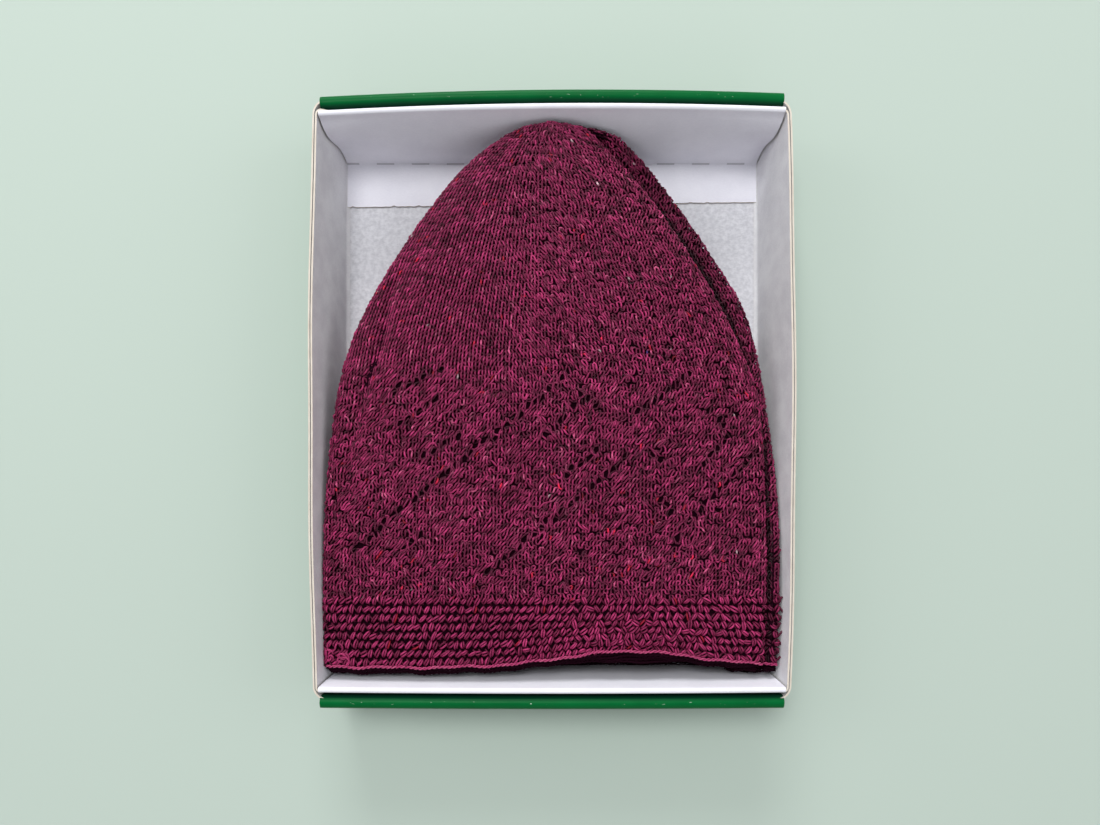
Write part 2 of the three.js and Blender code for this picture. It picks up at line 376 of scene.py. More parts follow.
@dataclass(frozen=True)
class CardFinish:
    """Uncoated board with faint blotches and fibres."""

    name: str
    light: Colour
    dark: Colour
    blotch: float = 9.0
    fibre: float = 0.7
    blotch_share: float = 0.65
    relief: float = 0.05
    roughness: float = 0.72
    crease_y: float | None = None
    crease_top: float = 3.6
    crease_fade: tuple[float, float] = (0.45, 0.25)
    crease_colour: Colour = linear(120, 116, 126)
    crease_strength: float = 0.45
    dash: float = 17.5

    def material(self) -> bpy.types.Material:
        """Makes the finish.

        Returns:
            A matt card, with a dashed perforation where crease_y is given.
        """
        graph = Graph(self.name)
        cloud = graph.noise(self.blotch, detail=6.0)
        fibre = graph.noise(self.fibre, detail=4.0, stretch=(0.5, 1.0, 1.0))
        grain = graph.ramp(cloud * self.blotch_share + fibre * (1 - self.blotch_share), 0.3, 0.7)
        colour = graph.mix(grain, self.dark, self.light)
        if self.crease_y is not None:
            colour = graph.mix(self._dashes(graph), colour, self.crease_colour)
        return graph.set(
            Base_Color=colour, Roughness=self.roughness, Normal=graph.bump(fibre, self.relief)
        )

    def _dashes(self, graph: Graph) -> Value:
        """A dashed line across the card where its end folds to the floor.

        Args:
            graph: the material's nodes.

        Returns:
            The share of the dashes' colour.
        """
        place = graph.place()
        x, y, z = (graph.axis(place, number) for number in range(3))
        beat = graph.node("ShaderNodeMath", {"operation": "FRACT"}, {0: x / (self.dash * MM)})
        wide, narrow = self.crease_fade
        near = graph.ramp(abs(y - self.crease_y * MM), wide * MM, narrow * MM)
        return near * (z < self.crease_top * MM) * (beat < 0.5) * self.crease_strength


@dataclass(frozen=True)
class CutEdgeFinish:
    """Bare beige core of the board along its cut edges."""

    name: str
    dark: Colour = linear(196, 184, 168)
    light: Colour = linear(232, 224, 212)
    stain: float = 6.0
    roughness: float = 0.85

    def material(self) -> bpy.types.Material:
        """Makes the finish.

        Returns:
            A beige that varies along the edge.
        """
        graph = Graph(self.name)
        stain = graph.noise(self.stain, detail=5.0)
        return graph.set(Base_Color=graph.mix(stain, self.dark, self.light), Roughness=self.roughness)


@dataclass(frozen=True)
class GreenFinish:
    """Green coating, scuffed to white specks along its folds, with painted shade where it faces the box."""

    name: str
    fold: float
    rim: float
    dark: Colour = linear(0, 84, 38)
    light: Colour = linear(0, 104, 50)
    bare: Colour = linear(214, 226, 214)
    shade: Colour = linear(2, 34, 28)
    cloud: float = 14.0
    speck: float = 1.1
    speck_strength: float = 0.8
    painted_shade_strength: float = 0.85
    ripple: float = 7.0
    relief: float = 0.25
    specular: float = 0.07
    roughness: float = 0.3
    roughness_spread: float = 0.15

    def material(self) -> bpy.types.Material:
        """Makes the finish.

        Returns:
            A glossy green with wear near the fold.
        """
        graph = Graph(self.name)
        place = graph.place()
        y, z = graph.axis(place, 1), graph.axis(place, 2)
        cloud = graph.noise(self.cloud, detail=4.0)
        coat = graph.mix(cloud, self.dark, self.light)
        coat = graph.mix(self._specks(graph, y, z) * self.speck_strength, coat, self.bare)
        # Painted shade: the coat turns dark where the rolls face the gap into the box.
        coat = graph.mix(self._painted_inward_shade(graph, y) * self.painted_shade_strength, coat, self.shade)
        ripple = graph.noise(self.ripple, detail=2.0, stretch=(0.35, 1.0, 1.0))
        return graph.set(
            Base_Color=coat,
            Roughness=self.roughness + self.roughness_spread * cloud,
            Specular_IOR_Level=self.specular,
            Normal=graph.bump(ripple, self.relief),
        )

    def _specks(self, graph: Graph, y: Value, z: Value) -> Value:
        """Worn specks along the folds at the rim.

        Args:
            graph: the material's nodes.
            y: place along the box.
            z: height.

        Returns:
            1 where the coating is worn off.
        """
        speck = graph.ramp(graph.noise(self.speck, detail=4.0, stretch=(0.4, 1.0, 1.0)), 0.66, 0.72)
        along = graph.ramp(abs(abs(y) - self.fold * MM), 0.9 * MM, 0.2 * MM)
        return speck * along * graph.ramp(z, (self.rim - 4) * MM, (self.rim - 1) * MM)

    def _painted_inward_shade(self, graph: Graph, y: Value) -> Value:
        """Where the rolls face the middle of the box and get painted shade.

        Args:
            graph: the material's nodes.
            y: place along the box.

        Returns:
            1 where the face is turned inward.
        """
        facing = graph.node("ShaderNodeNewGeometry", output="Normal")
        side = graph.node("ShaderNodeMath", {"operation": "SIGN"}, {0: y})
        return graph.ramp(-1.0 * graph.axis(facing, 1) * side, 0.25, 0.95)


def mesh_object(
    name: str,
    vertices: np.ndarray,
    faces: Sequence[np.ndarray],
    materials: Sequence[bpy.types.Material],
    face_material: np.ndarray | None = None,
) -> bpy.types.Object:
    """Makes a smoothly shaded mesh object from arrays.

    Args:
        name: the piece's name.
        vertices: points in millimetres, one a row.
        faces: arrays of corner numbers, one array for each number of corners.
        materials: the object's materials.
        face_material: number of each face's material, in the order of faces.

    Returns:
        The new object, linked to the scene.
    """
    mesh = bpy.data.meshes.new(name)
    corners = np.concatenate([f.ravel() for f in faces]).astype(np.int32)
    totals = np.concatenate([np.full(len(f), f.shape[1]) for f in faces]).astype(np.int32)
    starts = np.concatenate([[0], np.cumsum(totals)[:-1]]).astype(np.int32)
    mesh.vertices.add(len(vertices))
    mesh.vertices.foreach_set("co", (np.asarray(vertices) * MM).astype(np.float32).ravel())
    mesh.loops.add(len(corners))
    mesh.loops.foreach_set("vertex_index", corners)
    mesh.polygons.add(len(totals))
    mesh.polygons.foreach_set("loop_start", starts)
    mesh.polygons.foreach_set("use_smooth", np.ones(len(totals), bool))
    if face_material is not None:
        mesh.polygons.foreach_set("material_index", face_material.astype(np.int32))
    for material in materials:
        mesh.materials.append(material)
    mesh.update(calc_edges=True)
    mesh.validate()
    made = bpy.data.objects.new(name, mesh)
    bpy.context.scene.collection.objects.link(made)
    return made


def smoothstep(value: np.ndarray, low: float, high: float) -> np.ndarray:
    """A smooth step from 0 at low to 1 at high.

    Args:
        value: the numbers that are tested.
        low: where the step starts.
        high: where it ends.

    Returns:
        The step's height for each number.
    """
    share = np.clip((np.asarray(value, float) - low) / (high - low), 0, 1)
    return share * share * (3 - 2 * share)


def unit(vectors: np.ndarray) -> np.ndarray:
    """Vectors scaled to length 1."""
    return vectors / np.maximum(np.linalg.norm(vectors, axis=-1, keepdims=True), 1e-9)


class Section(NamedTuple):
    """One cross-section of the flattened cap.

    It holds the edges of the front and back layers, the heights of the upper and lower face, and the
    heights of the right back edge and of the front edges as shares of the thickness.
    """

    y: float
    left: float
    right: float
    back_left: float
    back_right: float
    top: float
    bottom: float
    back_at: float
    edge_at: float


class Along(NamedTuple):
    """Places on a course, with the directions there."""

    place: np.ndarray
    out: np.ndarray
    up: np.ndarray
    side: np.ndarray


class Loop(NamedTuple):
    """The cap's outer face along one course."""

    place: np.ndarray
    out: np.ndarray
    up: np.ndarray
    along: np.ndarray

    def travel(self, share: np.ndarray | float) -> np.ndarray:
        """Distances along the loop at shares of its points."""
        points = len(self.place)
        return np.interp(np.asarray(share) * points, np.arange(points + 1), self.along)

    def share(self, travel: np.ndarray) -> np.ndarray:
        """Shares of the loop's points at distances along it."""
        points = len(self.place)
        return np.interp(travel, self.along, np.arange(points + 1)) / points

    def read(self, travel: np.ndarray) -> Along:
        """Reads the loop at distances along it.

        Args:
            travel: distances in millimetres.

        Returns:
            Places and directions there.
        """
        points = len(self.place)
        at = np.interp(np.asarray(travel, float) % self.along[-1], self.along, np.arange(points + 1))
        i = np.floor(at).astype(int) % points
        k = (i + 1) % points
        share = (at - np.floor(at))[..., None]
        place = self.place[i] * (1 - share) + self.place[k] * share
        out = unit(self.out[i] * (1 - share) + self.out[k] * share)
        up = unit(self.up[i] * (1 - share) + self.up[k] * share)
        return Along(place, out, up, unit(np.cross(up, out)))


@dataclass
class CapForm:
    """The flattened cap's outer face, by row in a table of sections and share of the way round."""

    sections: tuple[Section, ...] = (
        Section(-121.8, -104.5, 97.0, -102.6, 103.4, 36.2, 4.0, 0.88, 0.86),
        Section(-90.0, -105.0, 98.3, -103.0, 104.3, 36.6, 3.6, 0.9, 0.86),
        Section(-45.0, -104.3, 98.4, -101.6, 104.6, 36.6, 2.6, 0.8, 0.84),
        Section(1.4, -99.8, 95.6, -97.0, 101.2, 36.4, 2.5, 0.56, 0.8),
        Section(24.6, -94.0, 87.4, -91.0, 98.2, 36.4, 2.5, 0.45, 0.8),
        Section(48.0, -83.6, 76.2, -80.5, 91.8, 36.4, 2.5, 0.4, 0.8),
        Section(71.0, -69.6, 61.8, -66.5, 77.8, 36.5, 2.8, 0.4, 0.8),
        Section(92.0, -54.6, 47.0, -52.0, 63.0, 36.8, 5.0, 0.4, 0.8),
        Section(107.4, -41.0, 33.8, -39.0, 49.6, 37.2, 9.0, 0.44, 0.8),
        Section(118.2, -27.0, 22.6, -25.5, 38.0, 37.6, 15.0, 0.5, 0.8),
        Section(124.2, -15.6, 15.0, -14.5, 27.0, 37.8, 22.0, 0.55, 0.8),
        Section(127.2, 0.0, 0.0, 0.0, 0.0, 36.4, 36.4, 0.55, 0.8),
    )
    back_edge: float = 0.44
    groove: float = 0.57
    right_groove: float = 11.0
    left_groove: float = 2.5
    top_shoulder: float = 11.0
    bottom_shoulder: float = 24.0
    shoulder_drop: float = 0.06
    shoulder_lift: float = 0.03
    shoulder_share: float = 0.28
    groove_share: float = 0.085
    hem_arch: float = 7.5
    hem_arch_at: float = 36.0
    hem_arch_spread: float = 45.0
    back_hem_drop: float = 3.2
    hem_fade: float = 1.5
    crease_y: tuple[float, ...] = (-40.0, -21.9, -6.0, 9.5, 25.0, 50.5, 66.0)
    crease_x: tuple[float, ...] = (-94.5, -92.9, -89.7, -84.7, -78.3, -74.0, -66.0)
    crease_depth: tuple[float, ...] = (0.0, 1.2, 2.4, 2.8, 2.4, 1.4, 0.0)
    crease_width: float = 2.4
    hem_crease_y: float = -112.8
    hem_crease_depth: float = 1.7
    hem_crease_width: float = 1.7
    wave_height: float = 0.35
    front_from: tuple[float, float] = (0.35, 0.8)
    around: int = 480

    def __post_init__(self) -> None:
        """Works out the spacing of the table's rows."""
        self.table = np.array(self.sections, float)
        steps = np.diff(self.table[:, :2], axis=0)
        self.reach = np.concatenate([[0], np.cumsum(np.hypot(steps[:, 0], steps[:, 1]))])
        self.tip = len(self.sections) - 1

    def columns(self, rows: np.ndarray) -> np.ndarray:
        """The table's columns at rows that may lie between its own.

        Args:
            rows: row numbers.

        Returns:
            One row of the table's numbers for each.
        """
        knots, values = self.reach, self.table
        ends = np.arange(len(knots))
        before, after = np.maximum(ends - 1, 0), np.minimum(ends + 1, self.tip)
        slope = (values[after] - values[before]) / (knots[after] - knots[before])[:, None]
        i = np.minimum(np.floor(rows).astype(int), self.tip - 1)
        share = (rows - i)[:, None]
        span = (knots[i + 1] - knots[i])[:, None]
        rise = values[i + 1] - values[i]
        bend_in = slope[i] * span - rise
        bend_out = rise - slope[i + 1] * span
        return values[i] + rise * share + share * (1 - share) * (bend_in * (1 - share) + bend_out * share)

    def controls(self, sections: np.ndarray) -> np.ndarray:
        """Control points of each section's closed loop.

        Args:
            sections: rows of the table's columns.

        Returns:
            Twelve points, x and z, for each section.
        """
        _, left, right, back_left, back_right, top, bottom, back_at, edge_at = sections.T
        width = np.maximum(right - left, 0)
        middle = (left + right) / 2
        top_in = np.minimum(self.top_shoulder, self.shoulder_share * width)
        bottom_in = np.minimum(self.bottom_shoulder, self.shoulder_share * width)
        right_in = np.minimum(self.right_groove, self.groove_share * width)
        left_in = np.minimum(self.left_groove, self.groove_share * width)

        def at(share: float | np.ndarray) -> np.ndarray:
            """Height at a share of each section's thickness."""
            return bottom + share * (top - bottom)

        low, high = at(self.shoulder_lift), at(1 - self.shoulder_drop)
        points = [
            (middle, bottom),
            (back_right - bottom_in, low),
            (back_right, at(back_at)),
            (right - right_in, at(self.groove)),
            (right, at(edge_at)),
            (right - top_in, high),
            (middle, top),
            (left + top_in, high),
            (left, at(edge_at)),
            (left + left_in, at(self.groove)),
            (back_left, at(self.back_edge)),
            (back_left + bottom_in, low),
        ]
        return np.stack([np.stack(p, -1) for p in points], 1)

    def surface(self, rows: np.ndarray) -> np.ndarray:
        """Points of the cap on a grid.

        Args:
            rows: row numbers, one for each loop.

        Returns:
            Points by row and place round the loop.
        """
        sections = self.columns(rows)
        loop = self._round(self.controls(sections))
        top, bottom = sections[:, 5:6], sections[:, 6:7]
        x, z = loop[..., 0], np.maximum(loop[..., 1], bottom)
        tall = np.maximum(top - bottom, 1e-6)
        front = smoothstep((z - bottom) / tall, *self.front_from)
        arch = self.hem_arch * np.exp(-(((x - self.hem_arch_at) / self.hem_arch_spread) ** 2))
        fade = np.maximum(1 - rows, 0)[:, None] ** self.hem_fade
        y = sections[:, 0:1] + (front * arch - (1 - front) * self.back_hem_drop) * fade
        return np.stack([x, y, z - front * self._slump(x, y)], -1)

    def _slump(self, x: np.ndarray, y: np.ndarray) -> np.ndarray:
        """How far the soft upper face sinks: a crease by its left edge and slow waves.

        Args:
            x: places across.
            y: places from mouth to tip.

        Returns:
            Depths, less than 0 where the face swells.
        """
        beside = (x - np.interp(y, self.crease_y, self.crease_x)) / self.crease_width
        depth = np.interp(y, self.crease_y, self.crease_depth)
        waves = np.sin(x / 11.0 + 0.6 + y / 37.0) * np.sin(y / 13.0 + 1.1 - x / 29.0)
        inside = smoothstep(y, -122, -90) * smoothstep(-y, -112, -80)
        across = smoothstep(x, 2, 26) * smoothstep(-x, -66, -46)
        above_hem = self.hem_crease_depth * across
        above_hem = above_hem * np.exp(-(((y - self.hem_crease_y) / self.hem_crease_width) ** 2))
        return depth * np.exp(-(beside**2)) + self.wave_height * waves * inside + above_hem

    def _round(self, controls: np.ndarray) -> np.ndarray:
        """Centripetal curve through closed control points.

        Args:
            controls: points of each loop, x and z.

        Returns:
            The loops, each with the form's number of points.
        """
        count = controls.shape[1]
        place = np.arange(self.around) / self.around * count
        i = place.astype(int)
        share = (place - i)[None, :, None]
        p0, p1, p2, p3 = (controls[:, (i + k) % count] for k in (-1, 0, 1, 2))

        def gap(a: np.ndarray, b: np.ndarray) -> np.ndarray:
            """Square root of the distance between points."""
            return np.maximum(np.sqrt(np.linalg.norm(b - a, axis=-1, keepdims=True)), 1e-4)

        d0, d1, d2 = gap(p0, p1), gap(p1, p2), gap(p2, p3)
        t1 = ((p1 - p0) / d0 - (p2 - p0) / (d0 + d1) + (p2 - p1) / d1) * d1
        t2 = ((p2 - p1) / d1 - (p3 - p1) / (d1 + d2) + (p3 - p2) / d2) * d1
        square, cube = share**2, share**3
        bend = (2 * p1 - 2 * p2 + t1 + t2) * cube + (-3 * p1 + 3 * p2 - 2 * t1 - t2) * square
        return p1 + t1 * share + bend

    def loop(self, row: float) -> Loop:
        """The outer face along one course, with its directions.

        Args:
            row: row number of the course.

        Returns:
            Places, outward and upward directions, and distance along the loop.
        """
        step = 0.01
        rows = np.clip(np.array([row - step, row, row + step]), 0, self.tip - 0.002)
        below, here, above = self.surface(rows)
        up = unit(above - below)
        along = unit(np.roll(here, -1, 0) - np.roll(here, 1, 0))
        out = unit(np.cross(up, along))
        if out[self.around // 2, 2] < 0:
            out = -out
        closed = np.concatenate([here, here[:1]])
        travel = np.concatenate([[0], np.cumsum(np.linalg.norm(np.diff(closed, axis=0), axis=1))])
        return Loop(here, out, up, travel)

    def rise(self, row: float) -> float:
        """Length that one row of the table takes up the face.

        Args:
            row: where it is measured.

        Returns:
            Millimetres for each row.
        """
        step = 0.02
        below, above = self.surface(np.array([row - step, row + step]).clip(0, self.tip - 0.001))
        face = slice(self.around // 4, 3 * self.around // 4)
        return float(np.linalg.norm(above[face] - below[face], axis=1).mean() / (2 * step))


@dataclass(frozen=True)
class Groove:
    """Painted shade in the fold between the front layer and the back layer at the cap's right, with a
    painted highlight along the front layer's rolled edge.
    """

    share: float = 0.25
    tone: float = 0.08
    back_painted_light: float = 0.78
    reach: tuple[float, float] = (0.38, 0.56)
    full_reach_at: float = 55.0
    least_reach: float = 0.3
    roll_share: float = 0.325
    roll_width: float = 0.015
    roll_painted_highlight: float = 0.2

    def light(self, loop: Loop, travel: np.ndarray) -> np.ndarray:
        """How much painted light stays along a course.

        Args:
            loop: one course of the cap.
            travel: distances along it.

        Returns:
            Factors of the yarn's shade.
        """
        share = loop.share(travel)
        back_edge, front_edge = loop.read(loop.travel(np.array([BACK_RIGHT, FRONT_RIGHT]))).place[:, 0]
        beyond = (loop.read(travel).place[:, 0] - front_edge) / max(back_edge - front_edge, 0.5)
        reach = np.array(self.reach) * np.clip(front_edge / self.full_reach_at, self.least_reach, 1)
        # Painted shade: dark in the fold, rising to a dimmer back layer that lies in the front layer's
        # shade.
        shadow = self.tone + (self.back_painted_light - self.tone) * smoothstep(beyond, *reach)
        # Painted highlight along the front layer's rolled edge.
        roll = 1 + self.roll_painted_highlight * np.exp(-(((share - self.roll_share) / self.roll_width) ** 2))
        return np.where(share < self.share, shadow, roll)


def blend(first: YarnTone, second: YarnTone, share: np.ndarray) -> np.ndarray:
    """Mixes two yarn shades, with all of the second at share 1."""
    return first.rgb * (1 - share[..., None]) + second.rgb * share[..., None]


@dataclass
class YarnMesh:
    """Collects strands of yarn as tubes with their shades and painted shade on their sides, ready to become
    one piece.
    """

    sides: int = 5
    flank_painted_shade: float = 0.1
    strip_from: float = 0.04
    strip_share: float = 0.9
    caps_at: tuple[float, float] = (0.02, 0.96)
    vertices: list[np.ndarray] = field(default_factory=list)
    quads: list[np.ndarray] = field(default_factory=list)
    caps: list[np.ndarray] = field(default_factory=list)
    shades: list[np.ndarray] = field(default_factory=list)
    spans: list[tuple[int, int]] = field(default_factory=list)
    count: int = 0

    def add(self, line: np.ndarray, out: np.ndarray, radius: np.ndarray | float, shade: np.ndarray) -> None:
        """Adds strands of equal numbers of points.

        Args:
            line: points by strand and place along it.
            out: direction away from the cloth at each point.
            radius: yarn radius at each point, or one for all.
            shade: linear colour at each point.
        """
        strands, length, _ = line.shape
        forward = unit(np.gradient(line, axis=1))
        side = unit(np.cross(forward, out))
        lift = np.cross(side, forward)
        angle = 2 * np.pi * np.arange(self.sides) / self.sides + np.pi / 2
        ring = np.cos(angle)[:, None] * side[:, :, None] + np.sin(angle)[:, None] * lift[:, :, None]
        thick = np.broadcast_to(np.asarray(radius, float), line.shape[:2])[..., None, None]
        self.vertices.append((line[:, :, None, :] + thick * ring).reshape(-1, 3))
        # Painted highlight and shade: each ring is coloured lighter on its outward side and darker on its
        # sides, as light falls on a round strand.
        lit = self.flank_painted_shade + (1 - self.flank_painted_shade) * (1 + np.sin(angle)) / 2
        colours = np.broadcast_to(shade, line.shape)[:, :, None, :] * lit[:, None]
        self.shades.append(np.broadcast_to(colours, ring.shape).reshape(-1, 3))
        number = self.count + np.arange(strands * length * self.sides).reshape(strands, length, self.sides)
        turned = np.roll(number, -1, 2)
        quad = np.stack([number[:, :-1], turned[:, :-1], turned[:, 1:], number[:, 1:]], -1)
        self.quads.append(quad.reshape(-1, 4))
        self.caps.append(number[:, 0, ::-1])
        self.caps.append(number[:, -1])
        self.spans.append((strands, length))
        self.count += strands * length * self.sides

    @property
    def triangles(self) -> int:
        """Triangles that the piece will have."""
        return 2 * sum(len(q) for q in self.quads) + (self.sides - 2) * sum(len(c) for c in self.caps)

    def piece(self, name: str, material: bpy.types.Material) -> bpy.types.Object:
        """Makes the piece.

        Args:
            name: the piece's name.
            material: a yarn material.

        Returns:
            The piece, with shades and a layout for baking.
        """
        vertices = np.concatenate(self.vertices)
        faces = [np.concatenate(self.quads), np.concatenate(self.caps)]
        made = mesh_object(name, vertices, faces, [material])
        shade = made.data.color_attributes.new("Shade", "FLOAT_COLOR", "POINT")
        rgba = np.ones((len(vertices), 4), np.float32)
        rgba[:, :3] = np.concatenate(self.shades)
        shade.data.foreach_set("color", rgba.ravel())
        layer = made.data.uv_layers.new(name="OFBake")
        layer.data.foreach_set("uv", self._layout().astype(np.float32).ravel())
        return made

    def _layout(self) -> np.ndarray:
        """Lays each strand out in a strip of its own.

        Returns:
            A pair of numbers from 0 to 1 for each face corner.
        """
        strips = sum(strands for strands, _ in self.spans)
        longest = max(length for _, length in self.spans)
        columns = max(1, round(math.sqrt(strips * self.sides / longest)))
        rows = math.ceil(strips / columns)
        quads, caps, strip = [], [], 0
        for strands, length in self.spans:
            cell = strip + np.arange(strands)
            corner = np.stack([cell % columns, cell // columns], -1)[:, None, None, None, :]
            i, j = np.meshgrid(np.arange(length - 1), np.arange(self.sides), indexing="ij")
            u = np.stack([i, i, i + 1, i + 1], -1) / (length - 1)
            v = np.stack([j, j + 1, j + 1, j], -1) / self.sides
            inside = self.strip_from + self.strip_share * np.stack([u, v], -1)
            quads.append(((corner + inside) / (columns, rows)).reshape(-1, 2))
            for place in self.caps_at:
                end = (corner[:, 0, 0] + (place, 0.5)) / (columns, rows)
                caps.append(np.repeat(end, self.sides, axis=1).reshape(-1, 2))
            strip += strands
        return np.concatenate(quads + caps)


class EyeletLine(NamedTuple):
    """A slanting row of small holes in the lace, by its two ends on the cap's face."""

    x0: float
    y0: float
    x1: float
    y1: float


@dataclass
class Lace:
    """The slanting eyelets of the crown's lace, how they push the strands aside, and the painted shade round
    them.
    """

    lines: tuple[EyeletLine, ...] = (
        EyeletLine(-66.0, -47.4, 8.2, 13.2),
        EyeletLine(-28.2, -77.0, 37.8, -22.4),
        EyeletLine(-3.2, -15.5, 12.7, 0.4),
        EyeletLine(6.8, -33.7, 19.6, -22.4),
        EyeletLine(-76.0, 2.7, -51.0, 14.1),
        EyeletLine(-69.2, -9.6, -53.3, 0.4),
        EyeletLine(-57.8, -24.6, -41.9, -15.5),
        EyeletLine(-89.7, -67.9, -69.2, -49.7),
        EyeletLine(-73.8, -72.4, -60.1, -61.1),
        EyeletLine(40.0, -4.1, 62.8, 11.8),
        EyeletLine(67.4, -31.5, 81.0, -15.5),
        EyeletLine(56.0, -61.1, 94.7, -22.4),
        EyeletLine(13.7, 4.0, 19.6, -1.9),
        EyeletLine(44.6, -24.6, 53.7, -29.2),
        EyeletLine(71.9, -4.1, 78.8, -10.9),
        EyeletLine(49.2, -45.1, 53.7, -49.7),
    )
    spacing: float = 4.2
    wander: float = 0.6
    push: float = 1.05
    reach: float = 1.2
    shade: float = 0.45
    painted_shade_reach: float = 1.44
    core: float = 0.35
    sink: float = 0.3
    ridge: float = 0.35
    ridge_reach: float = 1.4
    ridge_at: tuple[float, float] = (1.9, -1.2)
    long_axis: tuple[float, float] = (0.4, 0.5)
    short_axis: tuple[float, float] = (0.78, -0.62)
    face_height: float = 24.0

    def holes(self, rng: np.random.Generator) -> np.ndarray:
        """Places of the eyelets.

        Args:
            rng: the cap's random numbers.

        Returns:
            x and y of each hole.
        """
        rows = []
        for line in self.lines:
            start, end = np.array([line.x0, line.y0]), np.array([line.x1, line.y1])
            steps = max(2, round(np.linalg.norm(end - start) / self.spacing) + 1)
            rows.append(start + np.linspace(0, 1, steps)[:, None] * (end - start))
        places = np.concatenate(rows)
        return places + rng.normal(0, self.wander, places.shape)

    def displace(self, points: np.ndarray, holes: np.ndarray) -> tuple[np.ndarray, np.ndarray]:
        """Moves the face strands aside at each hole and lifts the strand beside it.

        Args:
            points: points of the yarn.
            holes: places of the eyelets.

        Returns:
            The moved points and the share of painted light that stays at each.
        """
        moved, light = points.copy(), np.ones(len(points))
        face = points[:, 2] > self.face_height
        for hole in holes:
            near = face & (np.abs(points[:, 0] - hole[0]) < 4 * self.reach)
            near &= np.abs(points[:, 1] - hole[1]) < 4 * self.reach
            index = np.nonzero(near)[0]
            offset = points[index, :2] - hole
            distance = np.hypot(offset @ self.long_axis, offset @ self.short_axis)
            # Painted shade: strands round each eyelet are coloured darker, as the hole lets them sink into
            # shade.
            light[index] *= 1 - self.shade * np.exp(-((distance / self.painted_shade_reach) ** 2))
            weight = np.exp(-((distance / self.reach) ** 2))
            moved[index, :2] += self.push * (weight / np.maximum(distance, self.core))[:, None] * offset
            beside = np.linalg.norm(offset - self.ridge_at, axis=1)
            lift = self.ridge * np.exp(-((beside / self.ridge_reach) ** 2))
            moved[index, 2] += lift - self.sink * weight
        return moved, light


class Strand(NamedTuple):
    """The yarn of one course: its points, outward directions, light and which points are kept."""

    line: np.ndarray
    out: np.ndarray
    tone: np.ndarray
    kept: np.ndarray


class Fleck(NamedTuple):
    """Bright specks in the yarn: the share of points that start one and its length in points."""

    tone: YarnTone
    share: float
    length: int


